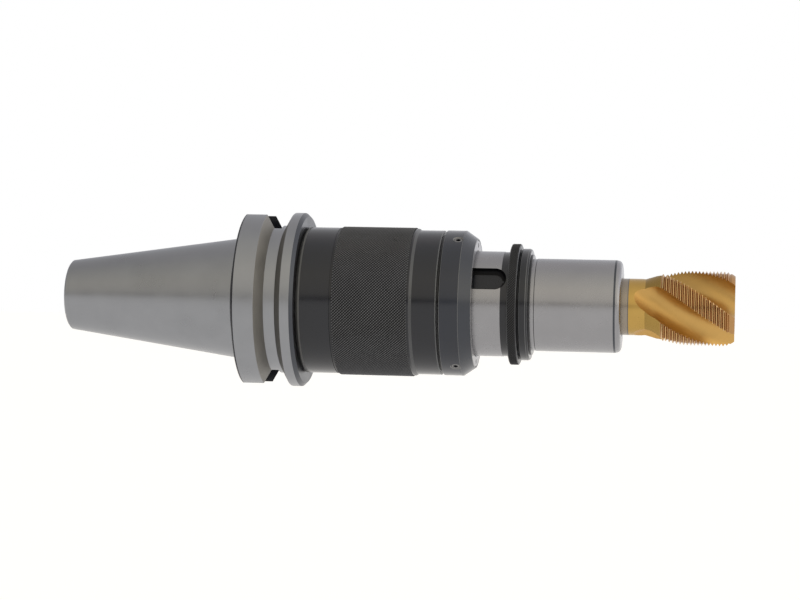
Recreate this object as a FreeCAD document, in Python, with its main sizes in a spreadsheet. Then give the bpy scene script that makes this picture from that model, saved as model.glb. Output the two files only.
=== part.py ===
"""Tension compression tap holder: a spring-loaded floating tap chuck on a steep taper shank.

Frame: the origin is on the axis at the gauge line of the taper, +X runs along the axis towards the tap,
+Z runs through one of the two drive slots. All lengths are in millimetres, all angles in degrees.
"""

import FreeCAD, Part

import math
import os
from types import SimpleNamespace

import Sketcher

SIZES = {
    # 7/24 taper and its retention bore
    "gauge_radius": 34.925,
    "taper_length": 101.8,
    "taper_edge": 1.0,
    "relief_depth": 1.025,
    "pilot_radius": 12.5,
    "pilot_depth": 15.0,
    "stud_radius": 10.5,
    "stud_depth": 60.0,
    "passage_radius": 8.0,
    "mouth_edge": 0.8,
    # flange with its gripper groove and drive slots
    "flange_radius": 50.0,
    "flange_rear": 3.0,
    "flange_front": 38.0,
    "flange_rear_edge": 0.6,
    "flange_front_edge": 2.0,
    "groove_place": 23.2,
    "groove_mouth": 15.0,
    "groove_depth": 7.5,
    "slot_width": 25.7,
    "slot_floor": 35.4,
    "slot_length": 21.0,
    # tube that carries the float, and its bores
    "tube_radius": 38.55,
    "tube_wall": 3.55,
    "tube_end": 129.8,
    "tube_floor": 6.0,
    "tube_thread_depth": 1.55,
    "tube_thread_length": 11.6,
    "spring_bore_gap": 2.5,
    "spring_bore_rear": -20.0,
    # black housing sleeve over the tube
    "sleeve_wall": 3.3,
    "sleeve_edge": 1.4,
    "sleeve_line_place": 57.2,
    "sleeve_line_width": 1.0,
    "sleeve_line_depth": 0.6,
    "knurl_rise": 0.75,
    "knurl_edge": 2.4,
    "band_drop": 0.65,
    "band_length": 13.8,
    "band_edge": 0.9,
    # front nut with its set screws
    "nut_wall": 4.4,
    "nut_gap": 1.4,
    "nut_overlap": 10.9,
    "nut_nose_length": 6.6,
    "nut_nose_drop": 4.55,
    "nut_reach": 6.5,
    "nut_lip": 0.65,
    "nut_edge": 0.5,
    "screw_radius": 2.5,
    "screw_setback": 2.7,
    "screw_sink": 0.8,
    "screw_socket": 2.5,
    "screw_socket_depth": 2.4,
    # cap ring, wiper and guide bush in the nut
    "cap_thickness": 3.3,
    "cap_gap": 0.3,
    "cap_edge": 0.4,
    "pin_hole_radius": 1.4,
    "pin_hole_depth": 2.0,
    "wiper_thickness": 1.6,
    "wiper_gap": 0.15,
    "bush_flange": 1.6,
    "bush_margin": 2.0,
    # drive keys
    "key_width": 13.5,
    "key_length": 17.0,
    "key_setback": 2.8,
    "key_gap": 0.5,
    "key_sink": 0.8,
    "key_angle": 61.0,
    # float sleeve
    "spring_space": 5.1,
    "float_rear": 44.0,
    "piston_length": 8.0,
    "piston_edge": 0.5,
    "spigot_gap": 0.7,
    "spigot_length": 6.0,
    "float_passage": 12.0,
    "float_shoulder": 155.8,
    "band_width": 3.8,
    "band_relief": 0.2,
    "nose_drop": 3.4,
    "nose_length": 8.6,
    "nose_edge": 0.4,
    "nose_wall": 4.5,
    "float_bore_depth": 46.4,
    "tenon_width": 14.0,
    "tenon_length": 5.5,
    "keyway_length": 69.0,
    "keyway_land": 0.8,
    "keyway_depth": 4.5,
    # springs and their seats
    "push_wire": 5.0,
    "push_coil_radius": 19.0,
    "push_turns": 7.0,
    "push_seat": 3.0,
    "pull_wire": 3.8,
    "pull_turns": 7.0,
    "pull_seat": 1.6,
    # lock balls, release ring and its retainer
    "ball_radius": 2.7,
    "ball_angle": 90.0,
    "ring_length": 5.5,
    "ring_rise": 4.6,
    "ring_edge": 0.7,
    "ring_turn": 30.0,
    "retainer_thickness": 0.4,
    "retainer_rise": 3.0,
    "retainer_depth": 0.6,
    "retainer_gap": 10.0,
    # quick-change adapter
    "adapter_flange_rise": 1.95,
    "adapter_flange_reach": 4.1,
    "adapter_drop": 0.2,
    "adapter_length": 48.4,
    "adapter_edge": 1.0,
    "collar_wall": 3.3,
    "collar_length": 4.35,
    "collar_edge": 0.7,
    "seal_groove_gap": 1.5,
    "seal_groove_width": 3.2,
    "seal_groove_depth": 1.8,
    "grip_groove_setback": 12.9,
    "grip_groove_width": 3.4,
    "grip_groove_depth": 2.2,
    # tap
    "tap_shank_radius": 16.0,
    "tap_inset": 4.0,
    "tap_length": 160.0,
    "tap_square": 24.0,
    "tap_square_length": 27.0,
    "tap_edge": 1.5,
    "tap_thread_length": 41.3,
    "tap_cone_length": 8.7,
    "tap_cone_rise": 2.7,
    "tap_thread_rise": 5.0,
    "tap_lead_in": 5.0,
    "tap_lead_in_drop": 2.4,
    "flute_core": 11.0,
    "flute_half_angle": 28.5,
    "flute_lead": 185.0,
    "flute_setback": 1.0,
    # fits
    "running_fit": 0.05,
    "seat_fit": 0.05,
    "square_fit": 0.1,
    "float_gap": 0.1,
}

TAPER_RISE = 7  # the taper gains 7 in diameter
TAPER_RUN = 24  # over 24 of length
GROOVE_FLANK = 30  # each flank of the gripper groove leans this far from a plane square to the axis
DRIVE_SLOTS = 2
KEYS = 2
NUT_SCREWS = 3
NUT_SCREW_START = 30  # angle of the first set screw from +Z, turning about +X
PIN_HOLES = 4
BALLS = 3
FLUTES = 4
FLUTE_START = 70.1  # angle of the first flute from -Z, turning about +X, where it leaves the shank
HEX_SIDES = 6
SQUARE_SIDES = 4
TENON_SIDES = 2
BALL_GROOVE = 0.9  # half the mouth of the ball groove, as a share of the ball's radius
CLEAR = 12.0  # how far a cut runs on past the metal it removes

document = FreeCAD.newDocument("tension_compression_tap_holder")
sheet = document.addObject("Spreadsheet::Sheet", "sizes")


class Size:
    """A length or angle: its value, and the expression on the sheet that gives it."""

    def __init__(self, value, text):
        self.value = value
        self.text = text

    def combine(self, other, sign, value):
        """Join two sizes, or a size and a plain number, by an arithmetic sign."""
        right = other.text if isinstance(other, Size) else repr(float(other))
        return Size(value, "(" + self.text + " " + sign + " " + right + ")")

    def __add__(self, other):
        return self.combine(other, "+", self.value + number(other))

    def __sub__(self, other):
        return self.combine(other, "-", self.value - number(other))

    def __mul__(self, other):
        return self.combine(other, "*", self.value * number(other))

    def __truediv__(self, other):
        return self.combine(other, "/", self.value / number(other))

    def __neg__(self):
        return self * -1


def number(size):
    """The plain number of a size or a number."""
    return size.value if isinstance(size, Size) else float(size)


def fill_sheet():
    """Write every driving size into the sheet, with its name as the alias."""
    for row, (name, value) in enumerate(SIZES.items(), start=1):
        sheet.set("A" + str(row), name)
        sheet.set("B" + str(row), str(value))
        sheet.setAlias("B" + str(row), name)
    document.recompute()


fill_sheet()
s = SimpleNamespace(**{name: Size(value, "sizes." + name) for name, value in SIZES.items()})
zero = Size(0.0, "0")


def bind(thing, prop, size):
    """Tie a property to the sheet, or set it where the size is a plain number."""
    if isinstance(size, Size) and "sizes." in size.text:
        thing.setExpression(prop, size.text)
    elif "." not in prop and "[" not in prop:
        setattr(thing, prop, number(size))


def new_body(label):
    """A body with its own name, which also names its file."""
    body = document.addObject("PartDesign::Body", label)
    body.Label = label
    return body


def origin_part(body, role):
    """One of the body's own origin planes or axes."""
    return next(item for item in body.Origin.OriginFeatures if item.Role == role)


def attach(sketch, body, role):
    """Lay a sketch on one of its body's origin planes."""
    sketch.AttachmentSupport = [(origin_part(body, role), "")]
    sketch.MapMode = "FlatFace"


def lift(sketch, angle, height):
    """Turn an XY-plane sketch about the axis by an angle, and lift it off the axis along its own normal."""
    turn = math.radians(number(angle))
    up = number(height)
    sketch.AttachmentOffset = FreeCAD.Placement(
        FreeCAD.Vector(0, -up * math.sin(turn), up * math.cos(turn)),
        FreeCAD.Rotation(FreeCAD.Vector(1, 0, 0), number(angle)),
    )
    angle_text = angle.text if isinstance(angle, Size) else repr(float(angle))
    height_text = height.text if isinstance(height, Size) else repr(float(height))
    sketch.setExpression("AttachmentOffset.Base.y", "-(" + height_text + ") * sin(" + angle_text + ")")
    sketch.setExpression("AttachmentOffset.Base.z", "(" + height_text + ") * cos(" + angle_text + ")")
    sketch.setExpression("AttachmentOffset.Rotation.Angle", angle_text)


def hold(sketch, kind, geometry, point, size):
    """Give one point of a sketch its distance from the sketch's origin."""
    index = sketch.addConstraint(Sketcher.Constraint(kind, -1, 1, geometry, point, number(size)))
    bind(sketch, "Constraints[" + str(index) + "]", size)


def outline(body, name, role, points):
    """A closed sketch of straight lines through points given as pairs of sizes."""
    sketch = body.newObject("Sketcher::SketchObject", name)
    attach(sketch, body, role)
    add_outline(sketch, points)
    return sketch


def add_outline(sketch, points):
    """Draw a closed run of lines in a sketch, each corner held by its two distances."""
    first = sketch.GeometryCount
    corners = [FreeCAD.Vector(number(x), number(y), 0) for x, y in points]
    count = len(corners)
    for i in range(count):
        sketch.addGeometry(Part.LineSegment(corners[i], corners[(i + 1) % count]), False)
    for i in range(count):
        follower = first + (i + 1) % count
        sketch.addConstraint(Sketcher.Constraint("Coincident", first + i, 2, follower, 1))
    for i, (x, y) in enumerate(points):
        hold(sketch, "DistanceX", first + i, 1, x)
        hold(sketch, "DistanceY", first + i, 1, y)


def add_circle(sketch, x, y, radius):
    """Draw a circle in a sketch, held by its centre and radius."""
    centre = FreeCAD.Vector(number(x), number(y), 0)
    geometry = sketch.addGeometry(Part.Circle(centre, FreeCAD.Vector(0, 0, 1), number(radius)), False)
    hold(sketch, "DistanceX", geometry, 3, x)
    hold(sketch, "DistanceY", geometry, 3, y)
    index = sketch.addConstraint(Sketcher.Constraint("Radius", geometry, number(radius)))
    bind(sketch, "Constraints[" + str(index) + "]", radius)


def add_round_slot(sketch, rear, front, width):
    """Draw a slot along the axis with two round ends."""
    radius = number(width) / 2
    x0 = number(rear) + radius
    x1 = number(front) - radius
    up = FreeCAD.Vector(0, 0, 1)
    near = Part.Circle(FreeCAD.Vector(x0, 0, 0), up, radius)
    far = Part.Circle(FreeCAD.Vector(x1, 0, 0), up, radius)
    left = sketch.addGeometry(Part.ArcOfCircle(near, math.pi / 2, math.pi * 1.5), False)
    right = sketch.addGeometry(Part.ArcOfCircle(far, -math.pi / 2, math.pi / 2), False)
    low = Part.LineSegment(FreeCAD.Vector(x0, -radius, 0), FreeCAD.Vector(x1, -radius, 0))
    high = Part.LineSegment(FreeCAD.Vector(x1, radius, 0), FreeCAD.Vector(x0, radius, 0))
    bottom = sketch.addGeometry(low, False)
    top = sketch.addGeometry(high, False)
    sketch.addConstraint(Sketcher.Constraint("Tangent", left, 2, bottom, 1))
    sketch.addConstraint(Sketcher.Constraint("Tangent", bottom, 2, right, 1))
    sketch.addConstraint(Sketcher.Constraint("Tangent", right, 2, top, 1))
    sketch.addConstraint(Sketcher.Constraint("Tangent", top, 2, left, 1))
    sketch.addConstraint(Sketcher.Constraint("Equal", left, right))
    hold(sketch, "DistanceX", left, 3, rear + width / 2)
    hold(sketch, "DistanceX", right, 3, front - width / 2)
    hold(sketch, "DistanceY", left, 3, zero)
    hold(sketch, "DistanceY", right, 3, zero)
    index = sketch.addConstraint(Sketcher.Constraint("Radius", left, radius))
    bind(sketch, "Constraints[" + str(index) + "]", width / 2)


def revolve(body, name, points):
    """Turn a closed outline of (place on the axis, radius) pairs about the axis."""
    sketch = outline(body, name + "_outline", "XY_Plane", points)
    feature = body.newObject("PartDesign::Revolution", name)
    feature.Profile = sketch
    feature.ReferenceAxis = (sketch, ["H_Axis"])
    feature.Angle = 360
    document.recompute()
    return feature


def cut_outwards(body, name, sketch, depth):
    """Remove what stands on a sketch along its normal."""
    before = body.Shape.Volume
    feature = body.newObject("PartDesign::Pocket", name)
    feature.Profile = sketch
    feature.Reversed = True
    bind(feature, "Length", depth)
    document.recompute()
    if body.Shape.Volume > before - 1e-3:
        raise RuntimeError(name + " removed nothing")
    return feature


def repeat_round(body, name, feature, count):
    """Repeat a feature evenly about the axis."""
    before = body.Shape.Volume
    pattern = body.newObject("PartDesign::PolarPattern", name)
    pattern.Originals = [feature]
    pattern.Axis = (origin_part(body, "X_Axis"), [""])
    pattern.Angle = 360
    pattern.Occurrences = count
    body.Tip = pattern
    document.recompute()
    if body.Shape.Volume > before - 1e-3:
        raise RuntimeError(name + " removed nothing")
    return pattern


def raised_sketch(body, name, angle, height):
    """An empty sketch turned about the axis and lifted off it."""
    sketch = body.newObject("Sketcher::SketchObject", name)
    attach(sketch, body, "XY_Plane")
    lift(sketch, angle, height)
    return sketch


def box_points(rear, front, half_width):
    """Corners of a rectangle along the axis."""
    return [(rear, -half_width), (front, -half_width), (front, half_width), (rear, half_width)]


def turned_about_axis(angle):
    """A placement that only turns about the axis."""
    return FreeCAD.Placement(FreeCAD.Vector(0, 0, 0), FreeCAD.Rotation(FreeCAD.Vector(1, 0, 0), number(angle)))


# radii that follow from their neighbours, from the tube outwards and inwards
s.relief_radius = s.gauge_radius - s.relief_depth
s.groove_root_radius = s.flange_radius - s.groove_depth
s.tube_bore = s.tube_radius - s.tube_wall
s.tube_thread_radius = s.tube_radius - s.tube_thread_depth
sleeve_bore = s.tube_radius + s.seat_fit
s.sleeve_radius = sleeve_bore + s.sleeve_wall
s.knurl_radius = s.sleeve_radius + s.knurl_rise
s.band_radius = s.sleeve_radius - s.band_drop
nut_bore = s.tube_thread_radius + s.seat_fit
s.nut_radius = nut_bore + s.nut_wall
s.nut_nose_radius = s.nut_radius - s.nut_nose_drop
s.nut_mouth = s.nut_nose_radius - s.nut_lip
piston_radius = s.tube_bore - s.running_fit
s.float_radius = s.tube_bore - s.spring_space
s.pull_coil_radius = (s.tube_bore + s.float_radius) / 2
s.wiper_bore = s.float_radius + s.wiper_gap
s.cap_bore = s.float_radius + s.cap_gap
s.pin_hole_circle = (s.cap_bore + s.nut_mouth) / 2
s.keyway_floor = s.float_radius - s.keyway_depth
s.key_foot = s.keyway_floor + s.key_gap
s.key_top = s.tube_thread_radius - s.key_sink
s.nose_radius = s.float_radius - s.nose_drop
s.float_bore = s.nose_radius - s.nose_wall
s.spigot_radius = s.push_coil_radius - s.push_wire / 2 - s.spigot_gap
s.spring_bore = s.push_coil_radius + s.push_wire / 2 + s.spring_bore_gap
s.ring_radius = s.float_radius + s.ring_rise
s.retainer_radius = s.nose_radius + s.retainer_rise
ball_height = s.nose_radius - s.ball_radius
adapter_shank_radius = s.float_bore - s.running_fit
s.adapter_flange_radius = s.nose_radius + s.adapter_flange_rise
s.adapter_radius = s.nose_radius - s.adapter_drop
s.collar_radius = s.adapter_flange_radius + s.seat_fit + s.collar_wall
s.tap_neck_radius = s.tap_shank_radius + s.tap_cone_rise
s.tap_thread_radius = s.tap_shank_radius + s.tap_thread_rise
s.tap_tip_radius = s.tap_thread_radius - s.tap_lead_in_drop

# places along the axis that follow from their neighbours
taper_rear = -s.taper_length
taper_tip_radius = s.gauge_radius - s.taper_length * TAPER_RISE / (2 * TAPER_RUN)
groove_flank_run = s.groove_depth * math.tan(math.radians(GROOVE_FLANK))
groove_rear = s.groove_place - s.groove_mouth / 2
groove_front = s.groove_place + s.groove_mouth / 2
s.tube_bore_rear = s.flange_front - s.tube_floor
s.tube_thread_rear = s.tube_end - s.tube_thread_length
s.nut_rear = s.tube_end - s.nut_overlap
s.nut_front = s.tube_end + s.nut_reach
s.nut_shoulder = s.nut_front - s.nut_nose_length
s.screw_place = s.nut_shoulder - s.screw_setback
s.sleeve_front = s.nut_rear - s.nut_gap
s.knurl_front = s.sleeve_front - s.band_length - s.knurl_edge
bush_front = s.tube_end + s.bush_flange
wiper_front = bush_front + s.wiper_thickness
s.key_front = s.tube_end - s.key_setback
s.key_rear = s.key_front - s.key_length
s.bush_rear = s.key_rear - s.bush_margin
s.band_rear = s.float_shoulder - s.band_width
s.nose_front = s.float_shoulder + s.nose_length
s.float_bore_rear = s.nose_front - s.float_bore_depth
s.keyway_front = s.float_shoulder - s.keyway_land
s.keyway_rear = s.keyway_front - s.keyway_length
ring_rear = s.float_shoulder + s.float_gap
ring_front = ring_rear + s.ring_length
retainer_rear = ring_front + s.float_gap / 2
ball_place = ring_rear + s.ring_length / 2
adapter_face = retainer_rear + s.retainer_thickness + s.float_gap * 2
adapter_rear = s.float_bore_rear - s.tenon_length
s.adapter_flange_front = s.nose_front + s.adapter_flange_reach
s.adapter_front = s.adapter_flange_front + s.adapter_length
s.collar_front = adapter_face + s.collar_length
s.tap_rear = s.float_bore_rear + s.tap_inset
s.tap_front = s.tap_rear + s.tap_length
s.tap_thread_rear = s.tap_front - s.tap_thread_length
s.tap_cone_rear = s.tap_thread_rear - s.tap_cone_length
s.flute_rear = s.tap_cone_rear + s.flute_setback
square_margin = s.float_gap * 5
square_socket_front = s.tap_rear + s.tap_square_length - square_margin
s.seal_groove_place = square_socket_front + s.seal_groove_gap
s.grip_groove_place = s.adapter_front - s.grip_groove_setback


def taper_shank():
    """Taper, flange, gripper groove, drive slots and the tube that guides the float, all one piece."""
    body = new_body("taper_shank")
    edge_radius = taper_tip_radius + s.taper_edge * TAPER_RISE / (2 * TAPER_RUN)
    pilot_front = taper_rear + s.pilot_depth
    stud_front = taper_rear + s.stud_depth
    points = [
        (taper_rear, s.pilot_radius + s.mouth_edge),
        (taper_rear, taper_tip_radius - s.taper_edge),
        (taper_rear + s.taper_edge, edge_radius),
        (zero, s.gauge_radius),
        (zero, s.relief_radius),
        (s.flange_rear, s.relief_radius),
        (s.flange_rear, s.flange_radius - s.flange_rear_edge),
        (s.flange_rear + s.flange_rear_edge, s.flange_radius),
        (groove_rear, s.flange_radius),
        (groove_rear + groove_flank_run, s.groove_root_radius),
        (groove_front - groove_flank_run, s.groove_root_radius),
        (groove_front, s.flange_radius),
        (s.flange_front - s.flange_front_edge, s.flange_radius),
        (s.flange_front, s.flange_radius - s.flange_front_edge),
        (s.flange_front, s.tube_radius),
        (s.tube_thread_rear, s.tube_radius),
        (s.tube_thread_rear, s.tube_thread_radius),
        (s.tube_end - s.mouth_edge, s.tube_thread_radius),
        (s.tube_end, s.tube_thread_radius - s.mouth_edge),
        (s.tube_end, s.tube_bore),
        (s.tube_bore_rear, s.tube_bore),
        (s.tube_bore_rear, s.spring_bore),
        (s.spring_bore_rear, s.spring_bore),
        (s.spring_bore_rear, s.passage_radius),
        (stud_front, s.passage_radius),
        (stud_front, s.stud_radius),
        (pilot_front, s.stud_radius),
        (pilot_front, s.pilot_radius),
        (taper_rear + s.mouth_edge, s.pilot_radius),
    ]
    revolve(body, "taper_and_tube", points)
    slot = raised_sketch(body, "drive_slot_outline", 0, s.slot_floor)
    add_outline(slot, box_points(zero, s.flange_rear + s.slot_length, s.slot_width / 2))
    cut = cut_outwards(body, "drive_slot", slot, s.flange_radius - s.slot_floor + CLEAR)
    repeat_round(body, "drive_slots", cut, DRIVE_SLOTS)
    seat = raised_sketch(body, "key_seat_outline", s.key_angle, s.key_foot)
    add_round_slot(seat, s.key_rear, s.key_front, s.key_width + s.seat_fit * 2)
    cut = cut_outwards(body, "key_seat", seat, s.tube_radius - s.key_foot + CLEAR)
    repeat_round(body, "key_seats", cut, KEYS)
    return body


def housing_sleeve():
    """Black sleeve over the tube: smooth rear band, knurled grip, smooth front band."""
    body = new_body("housing_sleeve")
    line_front = s.sleeve_line_place + s.sleeve_line_width
    line_root = s.sleeve_radius - s.sleeve_line_depth
    points = [
        (s.flange_front, sleeve_bore),
        (s.flange_front, s.sleeve_radius - s.sleeve_edge),
        (s.flange_front + s.sleeve_edge, s.sleeve_radius),
        (s.sleeve_line_place, s.sleeve_radius),
        (s.sleeve_line_place, line_root),
        (line_front, line_root),
        (line_front, s.knurl_radius),
        (s.knurl_front, s.knurl_radius),
        (s.knurl_front + s.knurl_edge, s.band_radius),
        (s.sleeve_front - s.band_edge, s.band_radius),
        (s.sleeve_front, s.band_radius - s.band_edge),
        (s.sleeve_front, sleeve_bore),
    ]
    revolve(body, "sleeve", points)
    return body


def front_nut():
    """Nut that closes the front of the tube, with three radial screw holes and a long nose chamfer."""
    body = new_body("front_nut")
    step = s.tube_end + s.float_gap * 2
    points = [
        (s.nut_rear, nut_bore),
        (s.nut_rear, s.nut_radius - s.nut_edge),
        (s.nut_rear + s.nut_edge, s.nut_radius),
        (s.nut_shoulder, s.nut_radius),
        (s.nut_front, s.nut_nose_radius),
        (s.nut_front, s.nut_mouth),
        (step, s.nut_mouth),
        (step, nut_bore),
    ]
    revolve(body, "nut", points)
    hole = raised_sketch(body, "screw_hole_outline", NUT_SCREW_START, s.nut_mouth - CLEAR)
    add_circle(hole, s.screw_place, zero, s.screw_radius + s.seat_fit)
    cut = cut_outwards(body, "screw_hole", hole, s.nut_radius - s.nut_mouth + CLEAR * 2)
    repeat_round(body, "screw_holes", cut, NUT_SCREWS)
    return body


def nut_set_screw(index):
    """Socket set screw that locks the nut on the tube."""
    body = new_body("nut_set_screw_" + str(index + 1))
    foot = s.tube_thread_radius + s.float_gap
    top = s.nut_radius - s.screw_sink
    stem = raised_sketch(body, "stem_outline_" + str(index + 1), 0, foot)
    add_circle(stem, s.screw_place, zero, s.screw_radius)
    pad = body.newObject("PartDesign::Pad", "stem_" + str(index + 1))
    pad.Profile = stem
    bind(pad, "Length", top - foot)
    document.recompute()
    socket = raised_sketch(body, "socket_outline_" + str(index + 1), 0, top - s.screw_socket_depth)
    across_corners = s.screw_socket / math.sqrt(3)
    corners = []
    for side in range(HEX_SIDES):
        angle = 2 * math.pi * side / HEX_SIDES
        across = across_corners * math.cos(angle)
        corners.append((s.screw_place + across, across_corners * math.sin(angle)))
    add_outline(socket, corners)
    cut_outwards(body, "socket_" + str(index + 1), socket, s.screw_socket_depth + CLEAR)
    body.Placement = turned_about_axis(NUT_SCREW_START + 360 / NUT_SCREWS * index)
    return body


def front_cap_ring():
    """Ring screwed into the nose of the nut, with holes for a pin spanner."""
    body = new_body("front_cap_ring")
    outer = s.nut_mouth - s.seat_fit
    rear = s.nut_front - s.cap_thickness
    points = [
        (rear, s.cap_bore),
        (rear, outer),
        (s.nut_front - s.cap_edge, outer),
        (s.nut_front, outer - s.cap_edge),
        (s.nut_front, s.cap_bore + s.cap_edge),
        (s.nut_front - s.cap_edge, s.cap_bore),
    ]
    revolve(body, "cap", points)
    hole = body.newObject("Sketcher::SketchObject", "pin_hole_outline")
    attach(hole, body, "YZ_Plane")
    depth_place = s.nut_front - s.pin_hole_depth
    bind(hole, "AttachmentOffset.Base.z", depth_place)
    add_circle(hole, zero, s.pin_hole_circle, s.pin_hole_radius)
    document.recompute()
    cut = cut_outwards(body, "pin_hole", hole, s.pin_hole_depth + CLEAR)
    repeat_round(body, "pin_holes", cut, PIN_HOLES)
    return body


def ring(label, rear, front, bore, outer):
    """A plain ring about the axis."""
    body = new_body(label)
    revolve(body, label + "_ring", [(rear, bore), (rear, outer), (front, outer), (front, bore)])
    return body


def front_guide_bush():
    """Flanged bronze bush that guides the float sleeve, with a window for each key."""
    body = new_body("front_guide_bush")
    bore = s.float_radius + s.running_fit
    outer = s.tube_bore - s.seat_fit
    flange = s.nut_mouth - s.seat_fit
    points = [
        (s.bush_rear, bore),
        (s.bush_rear, outer),
        (s.tube_end, outer),
        (s.tube_end, flange),
        (bush_front, flange),
        (bush_front, bore),
    ]
    revolve(body, "bush", points)
    window = raised_sketch(body, "window_outline", s.key_angle, s.key_foot)
    add_round_slot(window, s.key_rear, s.key_front, s.key_width + s.seat_fit * 2)
    cut = cut_outwards(body, "window", window, s.tube_bore - s.key_foot + CLEAR)
    repeat_round(body, "windows", cut, KEYS)
    return body


def drive_key(index):
    """Round-ended key that sits in the tube and reaches into the keyway of the float sleeve."""
    body = new_body("drive_key_" + str(index + 1))
    sketch = raised_sketch(body, "key_outline_" + str(index + 1), 0, s.key_foot)
    margin = s.seat_fit * 2
    add_round_slot(sketch, s.key_rear + margin, s.key_front - margin, s.key_width)
    pad = body.newObject("PartDesign::Pad", "key_" + str(index + 1))
    pad.Profile = sketch
    bind(pad, "Length", s.key_top - s.key_foot)
    document.recompute()
    turn = s.key_angle + 360 / KEYS * index
    body.Placement = turned_about_axis(turn)
    body.setExpression("Placement.Rotation.Angle", turn.text)
    return body


def coil_spring(label, rear, front, wire, coil_radius, turns):
    """Round-wire coil spring along the axis, its two ends ground flat."""
    pitch = (front - rear) / turns
    lay_along_axis = FreeCAD.Rotation(FreeCAD.Vector(0, 1, 0), 90)
    path = document.addObject("Part::Helix", label + "_path")
    bind(path, "Pitch", pitch)
    bind(path, "Height", front - rear)
    bind(path, "Radius", coil_radius)
    path.Placement = FreeCAD.Placement(FreeCAD.Vector(number(rear), 0, 0), lay_along_axis)
    path.setExpression("Placement.Base.x", rear.text)
    section = document.addObject("Part::Circle", label + "_wire")
    bind(section, "Radius", wire / 2)
    upright = FreeCAD.Rotation(FreeCAD.Vector(1, 0, 0), 90)
    section.Placement = FreeCAD.Placement(
        FreeCAD.Vector(number(rear), 0, -number(coil_radius)), upright
    )
    section.setExpression("Placement.Base.x", rear.text)
    section.setExpression("Placement.Base.z", (-coil_radius).text)
    document.recompute()
    sweep = document.addObject("Part::Sweep", label + "_coil")
    sweep.Sections = [section]
    sweep.Spine = (path, ["Edge1"])
    sweep.Solid = True
    sweep.Frenet = True
    span = document.addObject("Part::Cylinder", label + "_span")
    bind(span, "Radius", coil_radius + wire)
    bind(span, "Height", front - rear)
    span.Placement = FreeCAD.Placement(FreeCAD.Vector(number(rear), 0, 0), lay_along_axis)
    span.setExpression("Placement.Base.x", rear.text)
    spring = document.addObject("Part::Common", label)
    spring.Base = sweep
    spring.Tool = span
    spring.Label = label
    document.recompute()
    return spring


def float_sleeve():
    """Sliding sleeve: piston end, ground barrel with two keyways, and the nose that takes the adapter."""
    body = new_body("float_sleeve")
    spigot_rear = s.float_rear - s.spigot_length
    piston_front = s.float_rear + s.piston_length
    band = s.float_radius - s.band_relief
    groove = s.nose_radius - s.retainer_depth
    groove_front_edge = retainer_rear + s.retainer_thickness + s.float_gap
    points = [
        (spigot_rear, s.float_passage),
        (spigot_rear, s.spigot_radius),
        (s.float_rear, s.spigot_radius),
        (s.float_rear, piston_radius - s.piston_edge),
        (s.float_rear + s.piston_edge, piston_radius),
        (piston_front - s.piston_edge, piston_radius),
        (piston_front, piston_radius - s.piston_edge),
        (piston_front, s.float_radius),
        (s.band_rear, s.float_radius),
        (s.band_rear, band),
        (s.float_shoulder, band),
        (s.float_shoulder, s.nose_radius),
        (retainer_rear, s.nose_radius),
        (retainer_rear, groove),
        (groove_front_edge, groove),
        (groove_front_edge, s.nose_radius),
        (s.nose_front - s.nose_edge, s.nose_radius),
        (s.nose_front, s.nose_radius - s.nose_edge),
        (s.nose_front, s.float_bore),
        (s.float_bore_rear, s.float_bore),
        (s.float_bore_rear, s.float_passage),
    ]
    revolve(body, "barrel", points)
    keyway = raised_sketch(body, "keyway_outline", s.key_angle, s.keyway_floor)
    add_round_slot(keyway, s.keyway_rear, s.keyway_front, s.key_width + s.running_fit * 2)
    cut = cut_outwards(body, "keyway", keyway, s.float_radius - s.keyway_floor + CLEAR)
    repeat_round(body, "keyways", cut, KEYS)
    ball_hole = raised_sketch(body, "ball_hole_outline", s.ball_angle, s.float_passage)
    add_circle(ball_hole, ball_place, zero, s.ball_radius + s.running_fit)
    cut = cut_outwards(body, "ball_hole", ball_hole, s.nose_radius - s.float_passage + CLEAR)
    repeat_round(body, "ball_holes", cut, BALLS)
    mortise = raised_sketch(body, "mortise_outline", 0, zero)
    half_width = s.tenon_width / 2 + s.square_fit
    mortise_rear = adapter_rear - s.float_gap * 4
    add_outline(mortise, box_points(mortise_rear, s.float_bore_rear, half_width))
    feature = body.newObject("PartDesign::Pocket", "mortise")
    feature.Profile = mortise
    feature.SideType = "Symmetric"
    bind(feature, "Length", s.float_bore * 2)
    document.recompute()
    return body


def lock_ball(index):
    """Ball in the nose of the float sleeve that locks into the groove of the adapter."""
    ball = document.addObject("Part::Sphere", "lock_ball_" + str(index + 1))
    ball.Label = "lock_ball_" + str(index + 1)
    bind(ball, "Radius", s.ball_radius)
    angle = s.ball_angle + 360 / BALLS * index
    bind(ball, "Placement.Base.x", ball_place)
    ball.setExpression("Placement.Base.y", "-" + ball_height.text + " * sin(" + angle.text + ")")
    ball.setExpression("Placement.Base.z", ball_height.text + " * cos(" + angle.text + ")")
    return ball


def release_ring():
    """Knurled ring that turns to free the balls; a pocket for each ball waits beside it."""
    body = new_body("release_ring")
    bore = s.nose_radius + s.running_fit
    points = [
        (ring_rear, bore),
        (ring_rear, s.ring_radius - s.ring_edge),
        (ring_rear + s.ring_edge, s.ring_radius),
        (ring_front - s.ring_edge, s.ring_radius),
        (ring_front, s.ring_radius - s.ring_edge),
        (ring_front, bore),
    ]
    revolve(body, "ring", points)
    pocket = raised_sketch(body, "ball_pocket_outline", s.ball_angle - s.ring_turn, s.ball_radius)
    add_circle(pocket, ball_place, zero, s.ball_radius)
    depth = bore + s.ball_radius / 2
    cut = cut_outwards(body, "ball_pocket", pocket, depth - s.ball_radius)
    repeat_round(body, "ball_pockets", cut, BALLS)
    return body


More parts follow.
